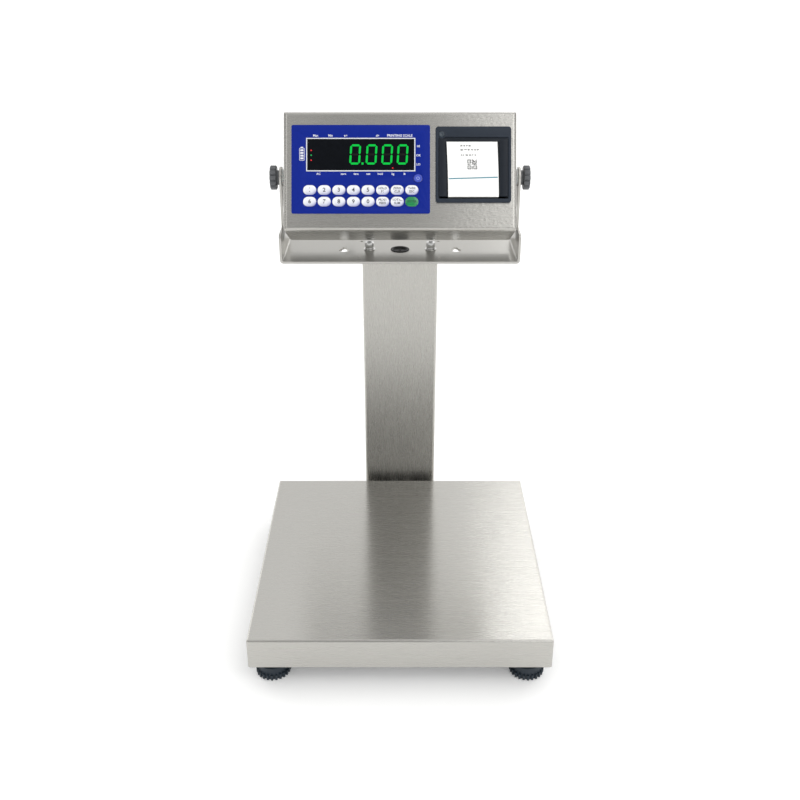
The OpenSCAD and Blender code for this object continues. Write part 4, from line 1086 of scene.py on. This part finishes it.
    def across(self, node):
        """A node's place turned so that its axis runs across the face, its half length and its radius."""
        low, high = span(node, FACE)
        turn = FACE @ Matrix.Translation((low + high) / 2) @ Matrix.Rotation(pi / 2, 4, "Y")
        return turn, (high.x - low.x) / 2, (high.y - low.y) / 2

    def platen(self):
        turn, reach, _ = self.across("platen_roller")
        rubber = finish("Roller rubber", (0.035, 0.036, 0.04), 0.6, 0.0, (900,) * 3, 0.12, 0.06, 0.00001)
        bm = bmesh.new()
        add_lathe(bm, [(0, -28.5), (4.6, -28.5), (5, -28.1), (5, 28.1), (4.6, 28.5), (0, 28.5)], turn, 48)
        pin = [(0, 28.4), (2, 28.4), (2, reach - 0.3), (1.7, reach), (0, reach)]
        add_lathe(bm, [(r, -z) for r, z in reversed(pin)], turn, 24, index=1)
        add_lathe(bm, pin, turn, 24, index=1)
        finish_piece("rubber_platen", bm, [rubber, fastener_steel()], "platen_roller")

    def roll(self):
        """Wound paper, whose ends show its turns, on a card core."""
        turn, half, radius = self.across("paper_roll")
        layers = [(8.0 + (radius - 8.2) * k / 24, half - (0.18 if k % 2 else 0.0)) for k in range(25)]
        bm = bmesh.new()
        add_lathe(bm, [(r, -z) for r, z in layers] + [(radius, 0.2 - half), (radius, half - 0.2)]
                  + layers[::-1], turn, 72, closed=True)
        add_lathe(bm, [(6.5, -half), (7.9, -half), (7.9, half), (6.5, half)], turn, 48, index=1, closed=True)
        card = finish("Core card", (0.40, 0.30, 0.19), 0.85, 0.0, (500,) * 3, 0.12, 0.05, 0.00002)
        finish_piece("wound_roll", bm, [glowing_label_paper(), card], "paper_roll")

    def button(self):
        low, high, where = seat("feed_button", FACE)
        r, top = (high.x - low.x) / 2, high.z
        bm = bmesh.new()
        add_lathe(bm, [(0, low.z), (r, low.z), (r, top - 0.45), (r - 0.15, top - 0.12), (r - 0.6, top),
                       (r - 1.1, top - 0.05), (r - 1.7, top - 0.22), (0, top - 0.3)], where, 40)
        plastic = finish("Button plastic", (0.035, 0.05, 0.065), 0.35, 0.0, (1800,) * 3, 0.1, 0.05, 0.00001)
        finish_piece("dished_button", bm, [plastic], "feed_button")


class SCALE_OT_label(bpy.types.Operator):
    """The printed label that hangs out of the printer, its top curling away."""

    bl_idname = "scale.label"
    bl_label = "Label"

    def execute(self, context):
        self.low, self.high = low, high = span("label_strip", FACE)
        self.x, self.half = (low.x + high.x) / 2, (high.x - low.x) / 2
        self.near = span("printer_door", FACE)[1].z + 0.1
        bm = bmesh.new()
        self.strip(bm)
        add_block(bm, (low.x, low.y, self.near - 1.6), (high.x, low.y + 0.25, self.near + 0.1), FACE, 0.08)
        self.words(bm)
        self.code(bm)
        line = high.y - 39.6
        self.patch(bm, low.x + 0.8, line, high.x - 0.9, line + 1.25, 2, 0.030)
        finish_piece("printed_label", bm, [glowing_label_paper(), ink("Black print", (0.02, 0.02, 0.022), 0.6),
                                           ink("Label line", tuple(look().label_line), 0.55)],
                     "label_strip", 50)
        return {"FINISHED"}

    def rise(self, y):
        return (y - self.low.y) / (self.high.y - self.low.y)

    def surface(self, x, y):
        """How far the label's front stands before the housing, at a place on it."""
        up = self.rise(y)
        lift = (self.high.z - self.near - 0.3) * max(0.0, (up - 0.45) / 0.55) ** 2
        corner = 0.25 * max(0.0, up - 0.6) * ((x - self.x) / self.half) ** 2
        return self.near + 0.3 + lift - corner

    def lean(self, y):
        """How far the label has swung to the left at a height on it."""
        return -1.9 * self.rise(y) ** 2

    def strip(self, bm):
        """A closed strip: a front, a back behind it and four narrow edges."""
        low, high = self.low, self.high
        rows, columns, thick = 28, 16, 0.25
        front, back = [], []
        for i in range(rows + 1):
            y = low.y + (high.y - low.y) * i / rows
            xs = [low.x + (high.x - low.x) * j / columns + self.lean(y) for j in range(columns + 1)]
            front.append([bm.verts.new(FACE @ Vector((x, y, self.surface(x, y)))) for x in xs])
            back.append([bm.verts.new(FACE @ Vector((x, y, self.surface(x, y) - thick))) for x in xs])
        for i in range(rows):
            for j in range(columns):
                bm.faces.new((front[i][j], front[i][j + 1], front[i + 1][j + 1], front[i + 1][j]))
                bm.faces.new((back[i][j], back[i + 1][j], back[i + 1][j + 1], back[i][j + 1]))
            bm.faces.new((front[i][0], front[i + 1][0], back[i + 1][0], back[i][0]))
            bm.faces.new((front[i][-1], back[i][-1], back[i + 1][-1], front[i + 1][-1]))
        for j in range(columns):
            bm.faces.new((front[0][j], back[0][j], back[0][j + 1], front[0][j + 1]))
            bm.faces.new((front[-1][j], front[-1][j + 1], back[-1][j + 1], back[-1][j]))

    def patch(self, bm, x0, y0, x1, y1, index, tilt=0.0):
        """A thin printed rectangle that follows the label."""
        count = max(1, int((x1 - x0) / 6))
        for k in range(count):
            a, b = x0 + (x1 - x0) * k / count, x0 + (x1 - x0) * (k + 1) / count
            ring = [(u, v + tilt * (u - x0)) for u, v in ((a, y0), (b, y0), (b, y1), (a, y1))]
            low, top = [[bm.verts.new(FACE @ Vector((u + self.lean(v), v, self.surface(u, v) + away)))
                         for u, v in ring] for away in (-0.02, 0.03)]
            sides = [(low[i], low[(i + 1) % 4], top[(i + 1) % 4], top[i]) for i in range(4)]
            for face in [top, low[::-1]] + sides:
                bm.faces.new(face).material_index = index

    def words(self, bm):
        """Three rows of made-up marks."""
        self.rng = rng = random.Random(11)
        pitch = 0.55
        for drop, words in ((3.4, 4), (7.6, 6), (13.2, 6)):
            x, y = self.low.x + 14.6, self.high.y - drop
            for _ in range(words):
                width = rng.uniform(1.6, 3.0)
                for k in range(int(width / pitch)):
                    tall = rng.choice((0.9, 1.3, 1.6))
                    self.patch(bm, x + k * pitch, y - tall, x + k * pitch + 0.4, y, 1)
                x += width + rng.uniform(0.7, 1.2)

    def code(self, bm):
        """A made-up square code with a target in three of its corners."""
        cells, side = 13, sizes().code_width
        x0, y0, step = self.low.x + 21.4, self.high.y - 18.6 - side, side / cells
        for i in range(cells):
            for j in range(cells):
                targets = [(i, j), (cells - 1 - i, j), (i, cells - 1 - j)]
                reaches = [max(abs(u - 2), abs(v - 2)) for u, v in targets]
                near = [reach for reach in reaches if reach <= 3]
                dark = near[0] not in (1, 3) if near else self.rng.random() < 0.58
                if dark:
                    self.patch(bm, x0 + i * step, y0 + j * step, x0 + (i + 1) * step, y0 + (j + 1) * step, 1)


class SCALE_OT_knobs(bpy.types.Operator):
    """Two lobed clamp knobs, each with its hub, cap and stud."""

    bl_idname = "scale.knobs"
    bl_label = "Clamp knobs"

    def execute(self, context):
        plastic = finish("Knob plastic", tuple(look().knob), 0.44, 0.0, (1500,) * 3, 0.12, 0.07, 0.00002,
                         edge=0.0003, edge_colour=(0.17, 0.18, 0.19))
        for name, side in (("left_knob", -1), ("right_knob", 1)):
            self.knob(name, HEAD @ Matrix.Rotation(side * pi / 2, 4, "Y"), plastic)
        return {"FINISHED"}

    def knob(self, name, place, plastic):
        low, high = span(name, place)
        radius, top = (high.y - low.y) / 2, high.z
        start = top - 7.0
        hub = start - 3.4
        bm = bmesh.new()
        add_plate(bm, lobed(radius, 12, 2.0), [disc(7.2, steps=48)],
                  both_edged(start, top, sizes().knob_round), place)
        add_lathe(bm, [(0, start + 0.4), (7.25, start + 0.4), (7.25, top - 1.6), (5.4, top - 1.6),
                       (5.0, top - 1.2), (4.2, top - 1.0), (0, top - 0.8)], place, 48)
        add_lathe(bm, [(3.1, hub), (7.6, hub), (8.0, hub + 0.4), (8.0, start + 0.1), (3.1, start + 0.1)],
                  place, 48, closed=True)
        turns = thread(3.0, 0.25, low.z + 0.5, 0.5, int((hub + 0.5 - low.z) / 0.5))
        add_lathe(bm, [(0, low.z), (2.6, low.z)] + turns + [(3.0, start + 0.5), (0, start + 0.5)], place, 24,
                  index=1)
        finish_piece("lobed_" + name, bm, [plastic, fastener_steel()], name, 38)


class SCALE_OT_electronics(bpy.types.Operator):
    """The circuit board and the battery inside the housing."""

    bl_idname = "scale.electronics"
    bl_label = "Board and battery"

    def execute(self, context):
        dress("main_board", finish("Solder mask", (0.008, 0.10, 0.035), 0.3, 0.0, (420,) * 3, 0.35, 0.08,
                                   0.00002, edge=0.0003, edge_colour=(0.35, 0.33, 0.16), Coat_Weight=0.3))
        dress("battery", finish("Battery sleeve", (0.02, 0.05, 0.26), 0.3, 0.0, (300,) * 3, 0.08, 0.06,
                                0.00001, 0.00004, 60.0, edge=0.0006, Coat_Weight=0.3))
        return {"FINISHED"}


class SCALE_OT_stage(bpy.types.Operator):
    """Pale floor, soft light, room and camera."""

    bl_idname = "scale.stage"
    bl_label = "Stage"

    def execute(self, context):
        stage, scene = context.scene.scale_stage, context.scene
        scene.view_settings.view_transform = "Standard"
        self.floor(stage)
        self.room(stage, scene)
        low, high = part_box("weighing_pan")
        middle_y = (low.y + high.y) / 2
        self.area("Key", (0.62, middle_y + 2.2, 2.0), (0, middle_y, 0.2), 0.45, 0.35, stage.key_light)
        self.area("Front", (-1.4, middle_y - 1.5, 2.2), (0, middle_y, 0.3), 1.6, 1.6, stage.key_light * 1.4)
        self.camera(stage, scene, low, high)
        return {"FINISHED"}

    def floor(self, stage):
        reach = stage.floor_reach
        mesh = bpy.data.meshes.new("floor")
        mesh.from_pydata([(-reach, -reach, 0), (reach, -reach, 0), (reach, reach, 0), (-reach, reach, 0)], [],
                         [(0, 1, 2, 3)])
        mesh.materials.append(finish("Pale floor", (0.90, 0.90, 0.895), 0.8, 0.0, (3, 3, 3), 0.01, 0.03, 0.0,
                                     Emission_Color=(1.0, 1.0, 0.995, 1.0), Emission_Strength=0.18))
        floor = bpy.data.objects.new("floor", mesh)
        bpy.context.scene.collection.objects.link(floor)

    def room(self, stage, scene):
        """A soft room: light above and behind, brighter to the right, darker low down at the front."""
        world = bpy.data.worlds.new("Room")
        world.use_nodes = True
        scene.world = world
        tree = world.node_tree
        back = tree.nodes["Background"].inputs
        back["Strength"].default_value = stage.sky
        where = add_node(tree, "ShaderNodeTexCoord").outputs["Generated"]
        x, y, z = add_node(tree, "ShaderNodeSeparateXYZ", {"Vector": where}).outputs

        def soft(source, *ends):
            return ramp(tree, source, *ends, shape="SMOOTHSTEP")

        away = worked(tree, "ABSOLUTE", x)
        side = worked(tree, "ADD", soft(x, -0.5, 0.5, 0.86, 1.12), soft(away, 0.40, 0.55, 0.0, 0.9))
        side = worked(tree, "MULTIPLY", side, soft(away, 0.66, 0.82, 1.0, 0.25))
        glares = ((3.2, 0.035, 0.15, 0.0, 1.0), (0.45, -0.15, -0.03, 1.0, 0.0))
        for power, start, end, at_start, at_end in glares:
            glare = worked(tree, "MULTIPLY", soft(y, -0.35, -0.15, power, 0.0),
                           soft(x, start, end, at_start, at_end))
            side = worked(tree, "ADD", side, glare)
        depth = add_node(tree, "ShaderNodeMix", {"Factor": soft(y, -0.35, 0.35, 0.0, 1.0),
                                                 "A": soft(z, 0.30, 0.80, 0.20, 0.55),
                                                 "B": soft(z, 0.05, 0.60, 1.10, 1.13)}).outputs["Result"]
        level = worked(tree, "MULTIPLY", depth, side)
        level = worked(tree, "MAXIMUM", level, soft(z, 0.12, 0.30, 1.0, 0.0))
        tree.links.new(level, back["Color"])

    def area(self, name, where, target, width, height, power):
        light = bpy.data.lights.new(name, "AREA")
        light.shape = "RECTANGLE"
        light.size = width
        light.size_y = height
        light.energy = power
        holder = bpy.data.objects.new(name, light)
        holder.location = where
        holder.rotation_euler = (Vector(target) - Vector(where)).to_track_quat("-Z", "Y").to_euler()
        bpy.context.scene.collection.objects.link(holder)

    def camera(self, stage, scene, low, high):
        lens = bpy.data.cameras.new("Camera")
        lens.lens = stage.lens
        lens.sensor_width = 36.0
        lens.clip_end = 200.0
        view = bpy.data.objects.new("Camera", lens)
        view.location = (0.0, low.y - stage.camera_ahead, high.z + stage.camera_above)
        view.rotation_euler = (pi / 2 - stage.camera_pitch, 0.0, 0.0)
        scene.collection.objects.link(view)
        scene.camera = view


class SCALE_PT_panel(bpy.types.Panel):
    """Lists the scale's pieces and their settings."""

    bl_idname = "SCALE_PT_panel"
    bl_label = "Label Printing Scale"
    bl_space_type = "VIEW_3D"
    bl_region_type = "UI"
    bl_category = "Scale"

    def draw(self, context):
        layout, scene = self.layout, context.scene
        for operator in OPERATORS:
            layout.operator(operator.bl_idname)
        for group in (scene.scale_sizes, scene.scale_finishes, scene.scale_stage):
            box = layout.box()
            for name in group.__annotations__:
                box.prop(group, name)


OPERATORS = (SCALE_OT_steelwork, SCALE_OT_base, SCALE_OT_fasteners, SCALE_OT_feet, SCALE_OT_housing,
             SCALE_OT_overlay, SCALE_OT_display, SCALE_OT_keys, SCALE_OT_printer, SCALE_OT_label,
             SCALE_OT_knobs, SCALE_OT_electronics, SCALE_OT_stage)
CLASSES = (ScaleSizes, ScaleFinishes, ScaleStage) + OPERATORS + (SCALE_PT_panel,)


def register():
    for cls in CLASSES:
        bpy.utils.register_class(cls)
    bpy.types.Scene.scale_sizes = PointerProperty(type=ScaleSizes)
    bpy.types.Scene.scale_finishes = PointerProperty(type=ScaleFinishes)
    bpy.types.Scene.scale_stage = PointerProperty(type=ScaleStage)


def unregister():
    del bpy.types.Scene.scale_stage
    del bpy.types.Scene.scale_finishes
    del bpy.types.Scene.scale_sizes
    for cls in reversed(CLASSES):
        bpy.utils.unregister_class(cls)


def main():
    register()
    for name in ("steelwork", "base", "fasteners", "feet", "housing", "overlay", "display", "keys", "printer",
                 "label", "knobs", "electronics", "stage"):
        getattr(bpy.ops.scale, name)()


if __name__ == "__main__":
    main()
